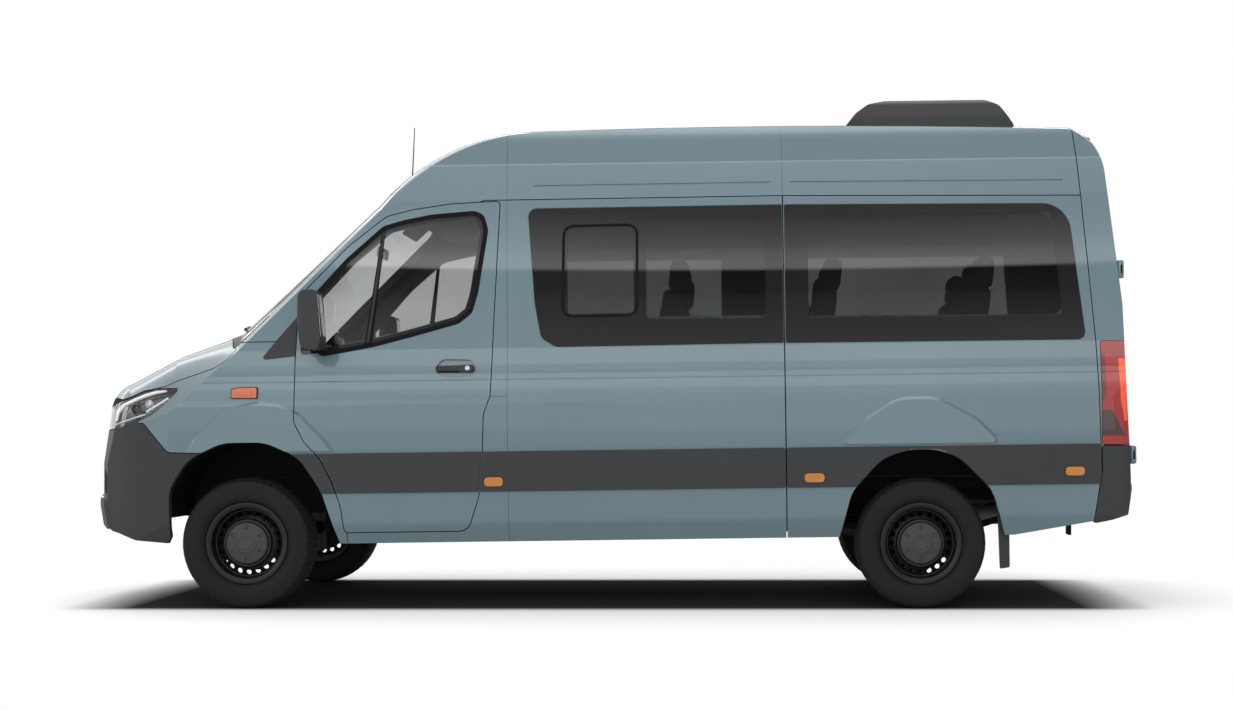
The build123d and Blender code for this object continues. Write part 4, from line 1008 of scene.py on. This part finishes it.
# ---- cabin
CARD = soft_corners([(420, 760, 60), (1160, 760, 60), (1175, 1380, 80), (760, 1330, 40), (380, 1290, 60)])
for hand, side in SIDES:
    door = "front_door_" + hand
    y0, y1 = span(side, 640, 838)
    block("air_duct_" + hand, (1480, y0, 2030), (4480, y1, 2150), 45, trim_grey, "body", 0.0, 4)
    for i in range(4):
        turned("duct_vent_%d_%s" % (i, hand),
               [(0.0, 0.034), (0.008, 0.034), (0.010, 0.028), (0.004, 0.024), (0.004, 0.0)],
               at(1800 + i * 780, side * 642, 2085), -side, black, "body")
    draped("door_card_" + hand, CARD, tree_of([door]), trim_dark, door, 2.0, 8.0, side, 60.0, start=500.0)
    for name, x0, x1, (y0, y1), z0, z1, r in (("door_pocket_", 520, 1120, span(side, 880, 905), 790, 900, 10),
                                              ("door_armrest_", 640, 1080, span(side, 850, 900), 1120, 1165, 18)):
        block(name + hand, (x0, y0, z0), (x1, y1, z1), r, trim_dark, door)
block("header_shelf", (820, -780, 2150), (1290, 780, 2260), 40, trim_dark, "body", 0.0, 4)
block("binnacle", (215, -640, 1385), (345, -300, 1455), 22, trim_dark, "body", -8)
block("binnacle_face", (340, -620, 1392), (348, -320, 1446), 8, gloss_black, "body", -8)
block("centre_screen", (322, -135, 1392), (338, 135, 1520), 8, gloss_black, "body", -12)
block("centre_console", (330, -150, 1000), (470, 150, 1200), 24, trim_dark, "body", 12)
tube("gear_lever", [at(470, 0, 1150), at(500, 0, 1230), at(505, 0, 1262)], [0.008, 0.012, 0.016],
     trim_dark, "body", 10)
for i, y in enumerate((-780, -180, 180, 780)):
    turned("dash_vent_%d" % i, [(0.0, 0.040), (0.006, 0.040), (0.008, 0.034), (0.002, 0.030), (0.002, 0.0)],
           at(428, y, 1290), 1, seal, "body")
block("glove_lid", (398, 330, 1130), (418, 760, 1235), 12, trim_dark, "body", -12)
block("room_mirror", (560, -120, 1985), (585, 120, 2050), 10, gloss_black, "body", 10)
block("sun_visor_0", (700, -620, 2130), (716, -180, 2270), 7, trim_grey, "body", 48)
block("sun_visor_1", (700, 180, 2130), (716, 620, 2270), 7, trim_grey, "body", 48)


# ---- stage, light, camera
def stage_material():
    """Pale floor, clean white to the camera away from the vehicle. Under the vehicle a dark painted shadow is put
    into the floor's colour, and in reflections the floor is a darker grey, painted shade.
    """
    m, net, shader = new_material("pale_floor")
    x, y, _ = split_xyz(net, coordinates(net))
    x = calc(net, "ABSOLUTE", x)
    y = calc(net, "ABSOLUTE", y)
    # Painted shadow: the floor's colour goes near black in a soft-edged box under the vehicle.
    painted_shadow = calc(net, "MULTIPLY", step(net, x, 3.02, 2.60), step(net, y, 1.06, 0.90))
    away = calc(net, "MAXIMUM", step(net, x, 3.2, 4.4), step(net, y, 1.4, 3.0))
    path = node(net, "LightPath")
    pale = blend_colors(net, path.outputs["Is Camera Ray"], (0.92, 0.92, 0.92), (1.12, 1.12, 1.12))
    fill(net, shader, Base_Color=blend_colors(net, painted_shadow, pale, (0.05, 0.05, 0.05)), Roughness=0.9,
         Specular_IOR_Level=0.0)
    # Painted shade: reflections see the floor as a darker grey, standing in for its shade near the vehicle.
    mirrored = node(net, "BsdfDiffuse", Color=(0.50, 0.50, 0.51, 1))
    ground = mix_shaders(net, path.outputs["Is Glossy Ray"], shader.outputs["BSDF"], mirrored.outputs["BSDF"])
    white = node(net, "Emission", Color=(1, 1, 1, 1))
    away = calc(net, "MULTIPLY", away, path.outputs["Is Camera Ray"])
    show(net, mix_shaders(net, away, ground, white.outputs["Emission"]))
    return m


FLOOR_REACH = 60
corners = [(x * FLOOR_REACH, y * FLOOR_REACH, 0) for x, y in ((-1, -1), (1, -1), (1, 1), (-1, 1))]
floor = added("studio_floor", bpy.data.meshes.new("studio_floor"))
floor.data.from_pydata(corners, [], [(0, 1, 2, 3)])
floor.data.materials.append(stage_material())

# What the paint and the glass mirror: grey by height, (sine of the height, brightness). The jump at 0.235 is the
# edge between dark and pale in the photograph's windows.
GREY = [
    (0.0, 0.42), (0.12, 0.40), (0.18, 0.26), (0.215, 0.07), (0.2347, 0.05), (0.2352, 1.0), (0.2450, 0.94),
    (0.2513, 0.80), (0.2578, 0.636), (0.2658, 0.453), (0.2755, 0.24), (0.2800, 0.20), (0.300, 0.38), (0.36, 0.42),
    (0.385, 0.85), (0.42, 0.85), (0.46, 0.34), (0.60, 0.26), (0.80, 0.34), (1.0, 0.55),
]
SKY_STRENGTH = 2.4
REAR_STRENGTH = 1.2
world = bpy.data.worlds.new("studio")
bpy.context.scene.world = world
world.use_nodes = True
net = world.node_tree
ahead, _, height = split_xyz(net, node(net, "TexCoord").outputs["Generated"])
sky = ramp(net, height, [(p, (v, v * 1.004, v * 1.01)) for p, v in GREY])
to_the_rear = step(net, ahead, 0.24, 0.50)
strength = calc(net, "MULTIPLY_ADD", to_the_rear, REAR_STRENGTH - SKY_STRENGTH, SKY_STRENGTH)
mirrored = fill(net, net.nodes["Background"], Color=sky, Strength=strength)
white = node(net, "Background", Color=(1, 1, 1, 1), Strength=1.0)
seen = mix_shaders(net, node(net, "LightPath").outputs["Is Camera Ray"], mirrored.outputs["Background"],
                   white.outputs["Background"])
net.links.new(seen, net.nodes["World Output"].inputs["Surface"])


def area(name, place, target, size, power):
    light = bpy.data.lights.new(name, "AREA")
    light.shape = "RECTANGLE"
    light.size, light.size_y = size
    light.energy = power
    o = added(name, light)
    o.location = place
    o.rotation_mode = "QUATERNION"
    o.rotation_quaternion = (Vector(target) - Vector(place)).to_track_quat("-Z", "Y")
    return o


OVERHEAD_WATTS = 130
FLANK_WATTS = 520
area("overhead", (0, 0, 9.0), (0, 0, 0), (10, 6), OVERHEAD_WATTS)
for name, y in (("left_softbox", -12.5), ("right_softbox", 12.5)):
    area(name, (0, y, 4.0), (0, 0, 1.2), (18, 7), FLANK_WATTS).visible_glossy = False

PHOTO_WIDTH = 1233.0  # these four are in the photograph's pixels
FOCAL = 1798.0
SHIFT_RIGHT = -121.5
SHIFT_UP = 77.0
CAMERA_AWAY = 10.72
CAMERA_HEIGHT = 0.961
camera = bpy.data.cameras.new("camera")
camera.sensor_width = 36.0
camera.lens = camera.sensor_width * FOCAL / PHOTO_WIDTH
camera.shift_x = SHIFT_RIGHT / PHOTO_WIDTH
camera.shift_y = SHIFT_UP / PHOTO_WIDTH
camera.clip_end = 200.0
camera_object = added("camera", camera)
bpy.context.scene.camera = camera_object
camera_object.location = (FRONT_AXLE + 2.670, -CAMERA_AWAY, CAMERA_HEIGHT)
camera_object.rotation_mode = "XYZ"
camera_object.rotation_euler = (math.radians(90), 0, 0)
bpy.context.scene.view_settings.view_transform = "Standard"
